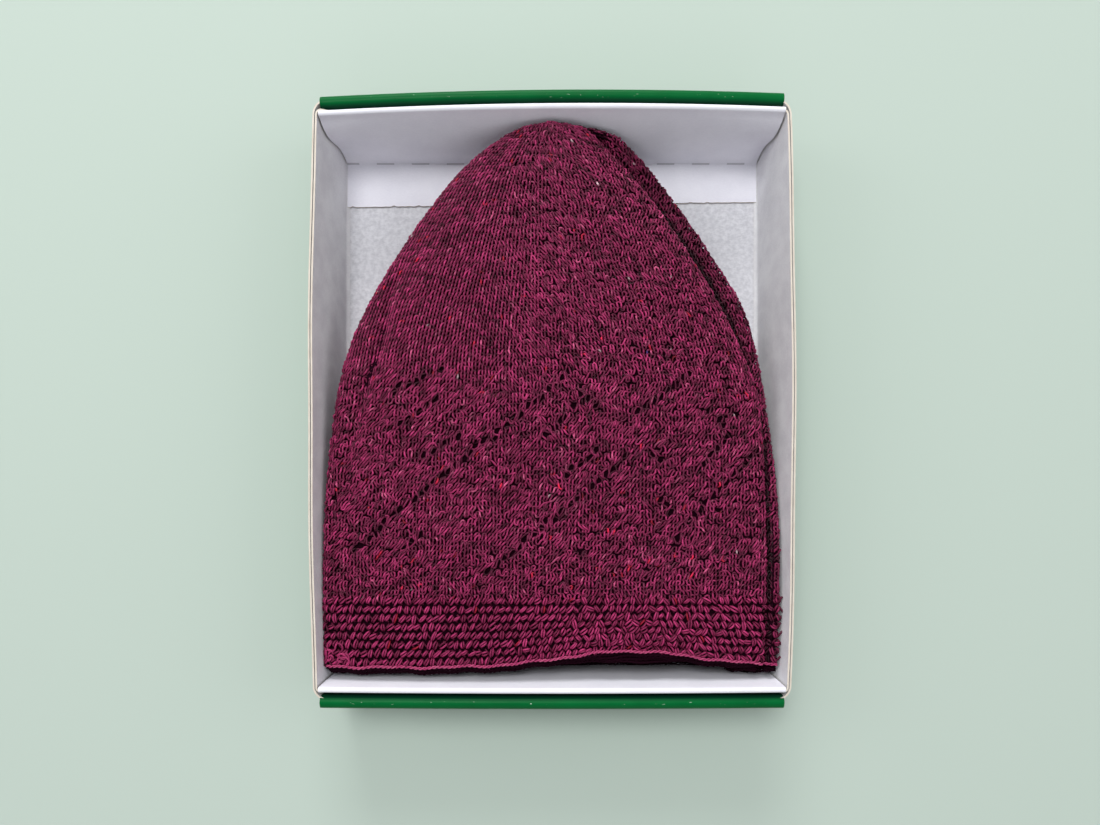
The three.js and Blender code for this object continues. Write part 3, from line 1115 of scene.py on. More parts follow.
@dataclass
class Crown:
    """The crown's knit: one wavy strand for each course, in wedges that lose stitches to the tip."""

    form: CapForm
    lace: Lace
    groove: Groove = Groove()
    wale: float = 3.2
    course: float = 2.02
    radius: float = 0.46
    first_row: float = 1.02
    tip_gap: float = 0.13
    steps: int = 8
    leg_steps: int = 4
    bulge: float = 0.115
    loop_height: float = 1.5
    loop_depth: float = 0.62
    sunk: float = 0.2
    uneven_height: float = 0.22
    uneven_side: float = 0.2
    uneven_depth: float = 0.16
    stagger: float = 0.52
    most_turn: float = 1.2
    calm: float = 0.7
    leg_light: tuple[float, float] = (0.55, 1.45)
    sunk_painted_light: float = 0.1
    face_painted_light: float = 0.95
    painted_lit_depth: tuple[float, float] = (-0.7, 0.3)
    tip_painted_shade: float = 0.12
    seen: tuple[float, float] = (0.155, 0.7)
    thinning: int = 2
    mottle: int = 5
    flecks: tuple[Fleck, ...] = (
        Fleck(YarnTone.PINK, 0.012, 3),
        Fleck(YarnTone.RED, 0.0022, 3),
        Fleck(YarnTone.LINT, 0.0003, 1),
    )
    blue_fleck: tuple[float, float] = (42.8, 22.3)
    blue_radius: float = 0.7
    wall_start: float = 1.005
    wall_rows: int = 90
    wall_faces: tuple[float, float] = (-1.3, -2.6)
    most_triangles: int = 190_000

    def rows(self) -> list[float]:
        """Row numbers of the courses, evenly spaced on the face.

        Returns:
            The numbers from the band to the tip.
        """
        row, rows = self.first_row, []
        while row < self.form.tip - self.tip_gap:
            rows.append(row)
            row += self.course / self.form.rise(row)
        return rows

    def wedges(self, loop: Loop) -> list[tuple[float, float, int]]:
        """Splits a course into wedges with whole numbers of stitches.

        Args:
            loop: the course's loop.

        Returns:
            Start, end and number of stitches of each wedge.
        """
        shares = np.array([COVER[0], self.groove.share, FRONT_RIGHT, FRONT_LEFT, COVER[1]])
        first, groove, right, left, last = loop.travel(shares)
        cuts = [right + third * (left - right) for third in (1 / 3, 2 / 3)]
        edges = [first, groove, *cuts, last]
        return [(a, b, 2 * int((b - a) / (2 * self.wale)) + 1) for a, b in zip(edges[:-1], edges[1:])]

    def strand(self, row: float, rng: np.random.Generator) -> Strand:
        """One course's strand.

        Args:
            row: the course's row number.
            rng: the cap's random numbers.

        Returns:
            The strand, with fewer points where the box hides the cap's flanks.
        """
        loop = self.form.loop(row)
        base, wide, phase = self._stitches(loop)
        points = len(base)
        jitter = self._wander(points, self.leg_steps, rng)
        stagger = self._wander(points, self.steps, rng)[0]
        flat = loop.read(base).place
        wild = 1 - self.calm * smoothstep(-flat[:, 0], -5, 40) * smoothstep(flat[:, 1], -10, 35)
        height = self.loop_height * (1 + self.uneven_height * wild * jitter[1]) * np.cos(phase)
        height += wild * (self.uneven_height * jitter[2] + self.stagger * stagger)
        side = self.bulge * wide * np.sin(2 * phase) + self.uneven_side * wild * jitter[0]
        side += height * self._lean(flat, wild * jitter[4])
        turned = 1 - self.most_turn * wild * self._by_leg(0, 1, points, rng)
        depth = -self.loop_depth * (0.5 + 0.5 * wild) * turned * np.cos(2 * phase)
        depth += self.uneven_depth * jitter[3] - self.sunk
        at = loop.read(base + side)
        line = at.place + height[:, None] * at.up + depth[:, None] * at.out
        # Painted shade: the parts of each strand that dive into the cloth are coloured darker, as they lie
        # under the strands over them.
        tone = self.sunk_painted_light + self.face_painted_light * smoothstep(depth, *self.painted_lit_depth)
        tone *= self._by_leg(*self.leg_light, points, rng) * self.groove.light(loop, base)
        # Painted shade: the yarn is coloured darker towards the tip, to offset the far lamp's light there.
        tone *= 1 - self.tip_painted_shade * smoothstep(flat[:, 1], 30, 110)
        share = loop.share(base)
        seen = (share > self.seen[0]) & (share < self.seen[1])
        return Strand(line, at.out, tone, seen | (np.arange(points) % self.thinning == 0))

    def _stitches(self, loop: Loop) -> tuple[np.ndarray, np.ndarray, np.ndarray]:
        """Points along a course before its stitches are shaped.

        Args:
            loop: the course's loop.

        Returns:
            Distance along the loop, width of the stitch and angle in its wave at each point.
        """
        travel, wide = [], []
        turn = np.arange(self.steps) / self.steps
        for start, end, stitches in self.wedges(loop):
            step = (end - start) / stitches
            travel.append((start + (np.arange(stitches)[:, None] + turn) * step).ravel())
            wide.append(np.full(stitches * self.steps, step))
        base = np.concatenate(travel)
        return base, np.concatenate(wide), np.tile(2 * np.pi * turn, len(base) // self.steps)

    def _by_leg(self, low: float, high: float, points: int, rng: np.random.Generator) -> np.ndarray:
        """Random numbers that stay the same along each leg of a stitch.

        Args:
            low: least number.
            high: greatest number.
            points: points of the strand.
            rng: the cap's random numbers.

        Returns:
            One number for each point.
        """
        legs = rng.uniform(low, high, points // self.leg_steps + 1)
        return np.repeat(legs, self.leg_steps)[:points]

    def _lean(self, place: np.ndarray, jitter: np.ndarray) -> np.ndarray:
        """How far the legs of the stitches lean, more to the right and in the lace.

        Args:
            place: points of the course.
            jitter: random numbers along it.

        Returns:
            Sideways share of the legs' height.
        """
        x, y, _ = place.T
        drift = 0.35 * smoothstep(x, -45, -5) * smoothstep(-x, -40, 0) * smoothstep(y, -60, 30)
        drift -= 0.2 * smoothstep(x, 25, 60) * smoothstep(y, 0, 40)
        drift -= 0.45 * smoothstep(x, -5, 25) * smoothstep(y, 55, 95)
        patch = np.sin(x / 6.1 + y / 8.3) * np.sin(y / 5.2 - x / 11.0 + 2.0)
        lace = smoothstep(y, -95, -70) * smoothstep(-y, -35, 0)
        return drift - 0.3 * lace + (0.18 + 0.2 * lace) * patch + (0.34 + 0.1 * lace) * jitter

    @staticmethod
    def _wander(points: int, every: int, rng: np.random.Generator) -> np.ndarray:
        """Five rows of smooth random numbers along a strand.

        Args:
            points: points of the strand.
            every: points over which the numbers change.
            rng: the cap's random numbers.

        Returns:
            The random numbers.
        """
        knots = rng.normal(0, 1, (5, points // every + 2))
        places = np.arange(points) / every
        return np.stack([np.interp(places, np.arange(knots.shape[1]), row) for row in knots])

    def shades(self, points: int, rng: np.random.Generator) -> np.ndarray:
        """Colours along a strand, mottled, with a few bright flecks.

        Args:
            points: points of the strand.
            rng: the cap's random numbers.

        Returns:
            Linear colours.
        """
        knots = rng.uniform(0, 1, points // self.mottle + 2)
        share = np.interp(np.arange(points) / self.mottle, np.arange(len(knots)), knots)
        colour = blend(YarnTone.DEEP, YarnTone.STRAND, share)
        for fleck in self.flecks:
            for start in np.nonzero(rng.uniform(0, 1, points) < fleck.share)[0]:
                colour[start : start + fleck.length] = fleck.tone.rgb
        return colour

    def build(self, rng: np.random.Generator) -> list[bpy.types.Object]:
        """Makes the crown's knit and the wall behind it.

        Args:
            rng: the cap's random numbers.

        Returns:
            The pieces.
        """
        yarn = YarnFinish("crown_yarn").material()
        holes = self.lace.holes(rng)
        pieces, mesh = [], YarnMesh()
        for row in self.rows():
            strand = self.strand(row, rng)
            kept = strand.kept
            if mesh.triangles + 2 * mesh.sides * kept.sum() > self.most_triangles:
                pieces.append(mesh.piece(f"crown_knit_{len(pieces) + 1}", yarn))
                mesh = YarnMesh()
            line, light = self.lace.displace(strand.line, holes)
            shade = self.shades(len(line), rng) * (strand.tone * light)[:, None]
            blue = np.linalg.norm(line[:, :2] - self.blue_fleck, axis=1) < self.blue_radius
            shade[blue] = YarnTone.BLUE.rgb
            mesh.add(line[None, kept], strand.out[None, kept], self.radius, shade[None, kept])
        pieces.append(mesh.piece(f"crown_knit_{len(pieces) + 1}", yarn))
        rows = np.linspace(self.wall_start, self.form.tip, self.wall_rows)
        wall = knit_wall(self.form, "crown_wall", rows, self.wall_faces)
        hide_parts("crown")
        return [*pieces, wall]


def knit_wall(
    form: CapForm,
    name: str,
    rows: np.ndarray,
    faces_at: tuple[float, float],
    every: int = 5,
    blunt_rows: tuple[float, float] = (1.2, 0.4),
) -> bpy.types.Object:
    """The closed wall behind the face strands, in painted shade.

    Args:
        form: the cap's form.
        name: the piece's name.
        rows: row numbers of its loops.
        faces_at: its outer and inner face, by their distance out of the cap's face.
        every: number of the form's points to each of the wall's.
        blunt_rows: rows before the tip over which the wall's end turns blunt.

    Returns:
        The piece.
    """
    face = form.surface(rows)[:, ::every]
    points, around = face.shape[:2]
    across = np.roll(face, -1, 1) - np.roll(face, 1, 1)
    out = unit(np.cross(np.gradient(face, axis=0), across))
    out = out * np.sign(out[0, around // 2, 2])
    blunt = smoothstep(rows, *(form.tip - row for row in blunt_rows))[:, None, None]
    out = out * (1 - blunt) + np.array([0.0, 1.0, 0.0]) * blunt
    vertices = np.concatenate([(face + distance * out).reshape(-1, 3) for distance in faces_at])
    number = np.arange(points * around).reshape(points, around)
    turned = np.roll(number, -1, 1)
    skin = np.stack([number[:-1], turned[:-1], turned[1:], number[1:]], -1).reshape(-1, 4)
    shift = points * around
    hem, tip = (np.stack([a, a + shift, b + shift, b], -1) for a, b in zip(number[[0, -1]], turned[[0, -1]]))
    faces = np.concatenate([skin[:, ::-1], skin + shift, hem, tip[:, ::-1]])
    # The wall's near-black finish is painted shade.
    return mesh_object(name, vertices, [faces], [ShadeBackingFinish(name + "_knit").material()])


class Ply(NamedTuple):
    """One strand of the hem's cord: where its twist starts and how far it lies below the edge."""

    turn: float
    drop: float


@dataclass
class Band:
    """The bumpy band of doubled strands with a rolled cast-off edge at the hem."""

    form: CapForm
    groove: Groove = Groove()
    row_count: int = 8
    first_row: float = 0.075
    last_row: float = 0.965
    pitch: float = 3.1
    drift: float = 0.3
    scatter: float = 0.28
    half_length: float = 2.0
    uneven_length: float = 0.16
    radius: float = 0.47
    spread: float = 0.58
    lean: float = 0.6
    uneven_lean: float = 0.32
    turned_from: tuple[float, float] = (-10.0, 90.0)
    turned_share: float = 0.75
    uneven_up: float = 0.25
    uneven_depth: float = 0.1
    light: tuple[float, float] = (0.7, 1.35)
    red_share: float = 0.012
    red_light: float = 0.5
    end_painted_shade: float = 0.65
    steps: int = 7
    link_steps: int = 4
    link_radius: float = 0.52
    link_half_length: float = 1.7
    link_painted_light: float = 0.55
    edge_row: float = 0.012
    edge_step: float = 0.7
    edge_mottle: float = 4.0
    edge_light: float = 0.95
    under_thinning: int = 2
    cord_radius: float = 0.4
    cord_turn: float = 4.4
    plies: tuple[Ply, ...] = (
        Ply(0.0, 0.0), Ply(3.14, 0.0), Ply(0.6, 0.9), Ply(3.7, 0.9), Ply(1.9, 1.7),
        Ply(5.0, 1.7), Ply(2.9, 2.5), Ply(6.0, 2.5), Ply(1.1, 3.3), Ply(4.2, 3.3),
    )
    curls: int = 14
    curl_steps: int = 22
    curl_radius: float = 0.5
    curl_rows: tuple[float, float] = (0.06, 0.3)
    curl_reach: tuple[float, float] = (0.5, 11.0)
    curl_size: tuple[float, float] = (1.0, 2.4)
    curl_turn: tuple[float, float] = (3.5, 5.5)
    wall_rows: int = 24
    wall_end: float = 0.995
    wall_faces: tuple[float, float] = (-1.1, -2.6)

    def build(self, rng: np.random.Generator) -> list[bpy.types.Object]:
        """Makes the band's bumps, its edge and the wall behind.

        Args:
            rng: the cap's random numbers.

        Returns:
            The pieces.
        """
        bumps = YarnMesh()
        for number, row in enumerate(np.linspace(self.first_row, self.last_row, self.row_count)):
            self._row(bumps, number, float(row), rng)
        band = bumps.piece("band_bumps", YarnFinish("band_yarn").material())
        edges = self._edge(rng)
        rows = np.linspace(0.0, self.wall_end, self.wall_rows)
        wall = knit_wall(self.form, "band_wall", rows, self.wall_faces)
        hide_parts("band")
        return [band, *edges, wall]

    def _row(self, mesh: YarnMesh, number: int, row: float, rng: np.random.Generator) -> None:
        """Adds one row of slanting bumps, two strands to a bump.

        Args:
            mesh: where the strands go.
            number: the row's number, which drifts its bumps sideways.
            row: the row's place on the cap.
            rng: the cap's random numbers.
        """
        loop = self.form.loop(row)
        start, end = loop.travel(np.array(COVER))
        bumps = round((end - start) / self.pitch)
        middle = start + (np.arange(bumps) + self.drift * number % 1) * (end - start) / bumps
        middle = middle + rng.normal(0, self.scatter, bumps)
        at = loop.read(middle)
        turned = smoothstep(at.place[:, 0], *self.turned_from) * self.turned_share > rng.uniform(0, 1, bumps)
        lean = np.where(turned, -1, 1) * (self.lean + rng.normal(0, self.uneven_lean, bumps))
        place = np.linspace(-1, 1, self.steps)
        forward = place * (self.half_length * (1 + rng.normal(0, self.uneven_length, bumps)))[:, None]
        cos, sin = np.cos(lean)[:, None], np.sin(lean)[:, None]
        # Painted shade: each bump is coloured darker towards its ends, where it dives under, plus the
        # groove's painted shade and highlight.
        tone = (1 - self.end_painted_shade * np.abs(place) ** 3) * self.groove.light(loop, middle)[:, None]
        out = np.broadcast_to(at.out[:, None], (bumps, self.steps, 3))
        self._links(mesh, at, lean, (end - start) / bumps)
        for ply in (-1, 1):
            across = ply * self.spread * (1 - 0.55 * place**2)
            up = forward * cos - across * sin + rng.normal(0, self.uneven_up, (bumps, 1))
            side = forward * sin + across * cos
            depth = 0.75 * (1 - place**2) - 0.85 * place**4 - 0.35
            depth = depth + rng.normal(0, self.uneven_depth, bumps)[:, None]
            line = at.place[:, None] + up[..., None] * at.up[:, None] + side[..., None] * at.side[:, None]
            line = line + depth[..., None] * out
            shade = blend(YarnTone.DEEP, YarnTone.STRAND, rng.uniform(0, 1, (bumps, 1)))
            shade = shade * rng.uniform(*self.light, (bumps, 1, 1))
            shade[rng.uniform(0, 1, bumps) < self.red_share] = YarnTone.RED.rgb * self.red_light
            mesh.add(line, out, self.radius * (1 - 0.25 * place**2), shade * tone[..., None])

    def _links(self, mesh: YarnMesh, at: Along, lean: np.ndarray, pitch: float) -> None:
        """Adds the strands that join each bump to the next from behind, darkened as painted shade.

        Args:
            mesh: where the strands go.
            at: the bumps' middles.
            lean: the bumps' lean.
            pitch: distance between bumps.
        """
        place = np.linspace(-1, 1, self.link_steps)
        side = 0.5 * pitch - place * np.sign(lean)[:, None] * 0.45 * pitch
        up = place * self.link_half_length
        line = at.place[:, None] + up[None, :, None] * at.up[:, None] + side[..., None] * at.side[:, None]
        line = line - (0.55 + 0.2 * place**2)[None, :, None] * at.out[:, None]
        out = np.broadcast_to(at.out[:, None], line.shape)
        # Painted shade on the links that lie behind the bumps.
        shade = np.broadcast_to(YarnTone.DEEP.rgb * self.link_painted_light, line.shape)
        mesh.add(line, out, self.link_radius, shade)

    def _edge(self, rng: np.random.Generator) -> list[bpy.types.Object]:
        """The cast-off edge: two strands twisted round the hem, and more below it, coloured near black as
        painted shadow.

        Args:
            rng: the cap's random numbers.

        Returns:
            The edge and its underside in painted shadow.
        """
        loop = self.form.loop(self.edge_row)
        travel = np.arange(0, loop.along[-1], self.edge_step)
        at = loop.read(travel)
        knots = np.arange(0, travel[-1] + 2 * self.edge_mottle, self.edge_mottle)
        edge, under = YarnMesh(), YarnMesh()
        for start, drop in self.plies:
            turn = 2 * np.pi * travel / self.cord_turn + start + 0.5 * np.sin(travel / 7.3 + drop)
            sag = 1.2 * np.sin(travel / 5.1 + 2 * drop) + 0.9 * np.sin(travel / 2.3)
            line = at.place + (0.42 * np.cos(turn) + 0.28 * sag - drop)[:, None] * at.up
            line = line + (0.36 * np.sin(turn) - 1.1 * drop)[:, None] * at.out
            share = np.interp(travel, knots, rng.uniform(0, 1, len(knots)))
            shade = blend(YarnTone.STRAND, YarnTone.PINK, share) * self.edge_light
            # Plies below the edge go to the underside, whose near-black finish is painted shadow.
            mesh, every = (under, self.under_thinning) if drop else (edge, 1)
            mesh.add(line[None, ::every], at.out[None, ::every], self.cord_radius, shade[None, ::every])
        self._curls(edge, rng)
        return [
            edge.piece("hem_edge", YarnFinish("hem_yarn").material()),
            under.piece("hem_underside", ShadeBackingFinish("hem_under_knit").material()),
        ]

    def _curls(self, mesh: YarnMesh, rng: np.random.Generator) -> None:
        """Adds the loose end that curls on itself at the left corner.

        Args:
            mesh: where the strands go.
            rng: the cap's random numbers.
        """
        turn = np.linspace(0, 1, self.curl_steps)
        hump = np.sin(np.pi * turn)
        for row in rng.uniform(*self.curl_rows, self.curls):
            loop = self.form.loop(float(row))
            middle = loop.travel(FRONT_LEFT) - rng.uniform(*self.curl_reach)
            at = loop.read(np.full(self.curl_steps, middle))
            angle = rng.uniform(0, 6.28) + rng.uniform(*self.curl_turn) * turn
            wide, tall = rng.uniform(*self.curl_size, 2)
            line = at.place + (wide * np.cos(angle))[:, None] * at.side
            line = line + (tall * np.sin(angle))[:, None] * at.up + (0.9 * hump**0.5 - 0.3)[:, None] * at.out
            # Painted shade: each curl is coloured darker where it dips to the cloth.
            shade = YarnTone.STRAND.rgb * rng.uniform(0.55, 1.0) * (0.6 + 0.4 * hump)[:, None]
            mesh.add(line[None], at.out[None], self.curl_radius, shade[None])


@dataclass
class CardSheet:
    """A sheet of board of even thickness, laid along a grid of points."""

    name: str
    grid: np.ndarray
    thickness: float = CARD
    sharpest_fold: float = 50.0

    def build(
        self, front: bpy.types.Material, back: bpy.types.Material, edge: bpy.types.Material
    ) -> bpy.types.Object:
        """Makes the sheet with its two faces and cut edges.

        Args:
            front: material of the face that the grid's normal points from.
            back: material of the other face.
            edge: material of the cut edges.

        Returns:
            The piece.
        """
        rows, columns = self.grid.shape[:2]
        normal = unit(np.cross(np.gradient(self.grid, axis=1), np.gradient(self.grid, axis=0)))
        half = self.thickness / 2 * normal
        vertices = np.concatenate([self.grid + half, self.grid - half]).reshape(-1, 3)
        number = np.arange(rows * columns).reshape(rows, columns)
        corners = [number[:-1, :-1], number[:-1, 1:], number[1:, 1:], number[1:, :-1]]
        face = np.stack(corners, -1).reshape(-1, 4)
        shift = rows * columns
        ring = np.concatenate([number[0, :-1], number[:-1, -1], number[-1, :0:-1], number[:0:-1, 0]])
        after = np.roll(ring, -1)
        sides = np.stack([ring, ring + shift, after + shift, after], -1)
        faces = np.concatenate([face, face[:, ::-1] + shift, sides])
        kinds = np.repeat([0, 1, 2], [len(face), len(face), len(sides)])
        made = mesh_object(self.name, vertices, [faces], [front, back, edge], kinds)
        sharp = made.modifiers.new("edges", "EDGE_SPLIT")
        sharp.split_angle = math.radians(self.sharpest_fold)
        return made


class Side(Enum):
    """The box's side walls, by the sign of their X."""

    LEFT = -1
    RIGHT = 1


class End(Enum):
    """The box's rolled ends, by the sign of their Y."""

    FAR = 1
    NEAR = -1


class SideWall(NamedTuple):
    """Sizes of a side wall: base is its inner half-width, end the place of its corner flaps."""

    base: float
    foot: float
    rim: float
    end: float
    corner: float
    flap: float
    fold: float = 0.0


class RollPath(NamedTuple):
    """A roll-over end seen from its side: distances from the box's middle and heights."""

    y: np.ndarray
    z: np.ndarray
    half_width: np.ndarray
    bend: np.ndarray
    slip: np.ndarray


@dataclass
class CardBox:
    """Sizes and forms that the tray and its upturned lid share."""

    card: float = CARD
    gap: float = 0.3
    floor_half_width: float = 102.6
    floor_overlap: float = 0.2
    lean: float = 2.7
    bow: float = 2.2
    bow_rise: float = 0.7
    tray_half_length: float = 131.5
    far_bow: float = 2.6
    near_bow: float = 0.6
    far_skew: float = 0.9
    flap_drop: float = 0.09
    ripple: float = 0.18
    ripple_length: float = 17.0
    panel_belly: float = 0.22
    corner_steps: int = 9
    wall_steps: int = 60
    rise_steps: int = 6
    roll_steps: int = 15
    fall_steps: int = 12

    def wall_half(self, base: float, y: np.ndarray, up: np.ndarray) -> np.ndarray:
        """Half-width of a side wall's inner face.

        Args:
            base: half-width at its foot.
            y: places along the wall.
            up: shares of its height.

        Returns:
            Half-widths.
        """
        along = np.minimum(np.abs(y) / self.tray_half_length, 1)
        return base + self.lean * up + self.bow * (1 - along**2) * np.maximum(up, 0) ** self.bow_rise

    def side_grid(self, side: Side, wall: SideWall) -> np.ndarray:
        """Points of a bowed side wall whose corners turn in to short flaps.

        Args:
            side: which wall it is.
            wall: its sizes.

        Returns:
            Points of the middle of the board, by height and place along the wall.
        """
        turn = np.linspace(0, np.pi / 2, self.corner_steps)
        straight, flap = wall.end - wall.corner, wall.corner + wall.flap
        y_turn = straight + wall.corner * np.sin(turn)
        inset = wall.corner * (1 - np.cos(turn))
        between = np.linspace(-straight, straight, self.wall_steps + 2)[1:-1]
        y = np.concatenate([[-wall.end], -y_turn[::-1], between, y_turn, [wall.end]])
        in_by = np.concatenate([[flap], inset[::-1], np.zeros(self.wall_steps), inset, [flap]])
        up = np.concatenate([np.linspace(0, 0.05, 8)[:-1], np.linspace(0.05, 1, 14)])[:, None]
        tall = wall.rim - wall.foot
        below = np.maximum(wall.fold - up * tall, 0)
        turned_in = (wall.fold - np.sqrt(wall.fold**2 - below**2)) * (in_by == 0)
        half = self.wall_half(wall.base, y[None], up) - in_by + self.card / 2 - turned_in
        up = up * (1 - self.flap_drop * (in_by > wall.corner))
        half = half + self.ripple * np.sin(y / self.ripple_length + side.value) * up * (in_by == 0)
        grid = np.stack([side.value * half, np.broadcast_to(y, half.shape), wall.foot + up * tall], -1)
        return grid[:, :: side.value]

    def roll_grid(self, end: End, path: RollPath, rim: float, columns: int) -> np.ndarray:
        """Points of a roll-over end across the box.

        Args:
            end: which end it is.
            path: the end's profile.
            rim: height at which the end bows most.
            columns: number of points across.

        Returns:
            Points by place along the profile and across.
        """
        across = np.linspace(-1, 1, columns)
        bow, skew = (self.far_bow, self.far_skew) if end is End.FAR else (self.near_bow, 0.0)
        high = np.clip(path.z / rim, 0, 1)[:, None] ** 1.5
        y = path.y[:, None] + (bow * (1 - across**2) + skew * across) * high
        y = y - path.bend[:, None] * np.abs(across) ** 5 + path.slip[:, None] * across
        z = np.broadcast_to(path.z[:, None], y.shape)
        return np.stack([path.half_width[:, None] * across, end.value * y, z], -1)[:, :: end.value]

    def roll_path(
        self, foot: float, rim: float, outer: float, thickness: float, inner_foot: float, lean: float
    ) -> tuple[np.ndarray, np.ndarray]:
        """Profile of a roll-over end: up the outside, round the rim and down the inside.

        Args:
            foot: height where the outside starts.
            rim: highest point.
            outer: distance of the outer face from the box's middle.
            thickness: thickness of the whole end.
            inner_foot: height where the inside ends.
            lean: how far the inside leans in at its foot.

        Returns:
            Distances from the middle, and heights.
        """
        radius = (thickness - self.card) / 2
        outside = outer - self.card / 2
        middle, top = outside - radius, rim - self.card / 2 - radius
        turn = np.linspace(0, np.pi, self.roll_steps)[1:]
        fall = np.linspace(0, 1, self.fall_steps)[1:]
        panel = middle - radius - lean * (fall + self.panel_belly * np.sin(np.pi * fall))
        y = [np.full(self.rise_steps, outside), middle + radius * np.cos(turn), panel]
        rise, drop = np.linspace(foot, top, self.rise_steps), top + (inner_foot - top) * fall
        return np.concatenate(y), np.concatenate([rise, top + radius * np.sin(turn), drop])


@dataclass
class Tray:
    """The white and grey tray: floor, bowed sides and roll-over ends with floor tongues."""

    box: CardBox
    rim: float = 42.0
    roll: float = 2.6
    corner: float = 2.0
    flap: float = 8.0
    fold: float = 1.8
    tongue: float = 20.2
    tongue_skew: float = 1.25
    tongue_lift: float = 0.15
    tongue_fold: float = 0.5
    tongue_steps: int = 12
    bend: float = 2.0
    far_set: float = 1.2
    far_lean: float = 4.6
    near_lean: float = 2.4
    rim_half_width: float = 104.7
    foot_half_width: float = 102.2
    waist: float = 0.15
    end_columns: int = 150
    nick: float = 0.07
    deep_nick: float = 0.45
    deep_share: float = 0.06
    floor_wave: float = 0.06

    def build(self, rng: np.random.Generator) -> list[bpy.types.Object]:
        """Makes the tray's sheets.

        Args:
            rng: the box's random numbers.

        Returns:
            The pieces.
        """
        box = self.box
        under = box.card + box.gap
        edge = CutEdgeFinish("tray_cut_edge").material()
        grey = CardFinish("grey_board", linear(232, 232, 234), linear(214, 213, 217)).material()
        floor_face = CardFinish("floor_board", linear(228, 228, 233), linear(200, 200, 206), blotch=2.2)
        floor = CardSheet("tray_floor", self._floor_grid(under)).build(floor_face.material(), grey, edge)
        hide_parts("tray")
        pieces = [floor]
        wall = SideWall(
            base=box.floor_half_width,
            foot=under + box.card,
            rim=self.rim - box.card,
            end=box.tray_half_length - box.card / 2,
            corner=self.corner,
            flap=self.flap,
            fold=self.fold,
        )
        for side in Side:
            grid = box.side_grid(side, wall)
            grid[..., 1] -= self.far_set * np.maximum(grid[..., 1], 0) / box.tray_half_length
            pieces.append(CardSheet(f"tray_{side.name.lower()}_side", grid).build(grey, grey, edge))
        for end in End:
            pieces.append(self._end(end, under, (grey, edge), rng))
        return pieces

    def _end(
        self, end: End, under: float, boards: tuple[bpy.types.Material, ...], rng: np.random.Generator
    ) -> bpy.types.Object:
        """Makes one roll-over end with its torn tongue.

        Args:
            end: which end it is.
            under: height of the floor's underside.
            boards: materials of the grey back and the cut edge.
            rng: the box's random numbers.

        Returns:
            The piece.
        """
        name = f"tray_{end.name.lower()}_end"
        path = self._end_path(under, end)
        grid = self._torn(self.box.roll_grid(end, path, self.rim, self.end_columns), rng)
        crease = end.value * (self._outer(end) - self.roll - self._lean(end))
        white = CardFinish(
            name + "_white", linear(241, 240, 248), linear(233, 232, 241), blotch=14.0, crease_y=crease
        )
        grey, edge = boards
        return CardSheet(name, grid).build(grey, white.material(), edge)

    def _outer(self, end: End) -> float:
        """Distance of an end's outer face from the box's middle."""
        return self.box.tray_half_length - (self.far_set if end is End.FAR else 0.0)

    def _lean(self, end: End) -> float:
        """How far an end's inner panel leans in at its foot."""
        return self.far_lean if end is End.FAR else self.near_lean

    def _floor_grid(self, under: float) -> np.ndarray:
        """Points of the floor.

        Args:
            under: height of the floor's underside.

        Returns:
            A gently uneven grid.
        """
        box = self.box
        x = np.linspace(-1, 1, 40) * (box.floor_half_width + box.floor_overlap)
        y = np.linspace(-1, 1, 50) * (box.tray_half_length - box.card)
        x, y = np.meshgrid(x, y)
        z = under + box.card / 2 + self.floor_wave * np.sin(x / 19) * np.cos(y / 23)
        return np.stack([x, y, z], -1)

    def _end_path(self, under: float, end: End) -> RollPath:
        """Profile of a roll-over end with its tongue on the floor.

        Args:
            under: height of the floor's underside.
            end: which end it is.

        Returns:
            The profile; the far end's panel bends at its sides and its tongue lies askew.
        """
        box = self.box
        lying = under + box.card + box.gap + box.card / 2 - self.tongue_lift
        folded = lying + self.tongue_fold
        y, z = box.roll_path(
            under + box.card / 2, self.rim, self._outer(end), self.roll, folded, self._lean(end)
        )
        run = np.linspace(0, 1, self.tongue_steps)[1:]
        foot, start = y[-1] - self.tongue_lift, y[-1] - self.tongue_fold
        y = np.concatenate([y, [foot, start], start - self.tongue * run])
        z = np.concatenate([z, [lying + self.tongue_lift, lying], lying + self.tongue_lift * run**3])
        high = np.clip((z - lying) / (self.rim - lying), 0, 1)
        half_width = self.foot_half_width + (self.rim_half_width - self.foot_half_width) * high
        half_width = half_width - self.waist * np.sin(np.pi * high)
        bend, slip = np.zeros(len(y)), np.zeros(len(y))
        if end is End.FAR:
            inside = np.arange(len(y)) >= box.rise_steps + box.roll_steps - 1
            bend = -self.bend * np.sin(2 * np.pi * high) * (inside & (z > folded))
            slip[-len(run) :] = self.tongue_skew * run
        return RollPath(y, z, half_width, bend, slip)

    def _torn(self, grid: np.ndarray, rng: np.random.Generator) -> np.ndarray:
        """Roughens the tongue's free edge.

        Args:
            grid: points of the end.
            rng: the box's random numbers.

        Returns:
            The grid with small nicks in its last row.
        """
        columns = grid.shape[1]
        nicks = rng.normal(0, self.nick, columns)
        nicks[rng.uniform(0, 1, columns) < self.deep_share] += self.deep_nick
        torn = grid.copy()
        torn[-1, :, 1] += np.sign(grid[-1, :, 1]) * nicks
        return torn


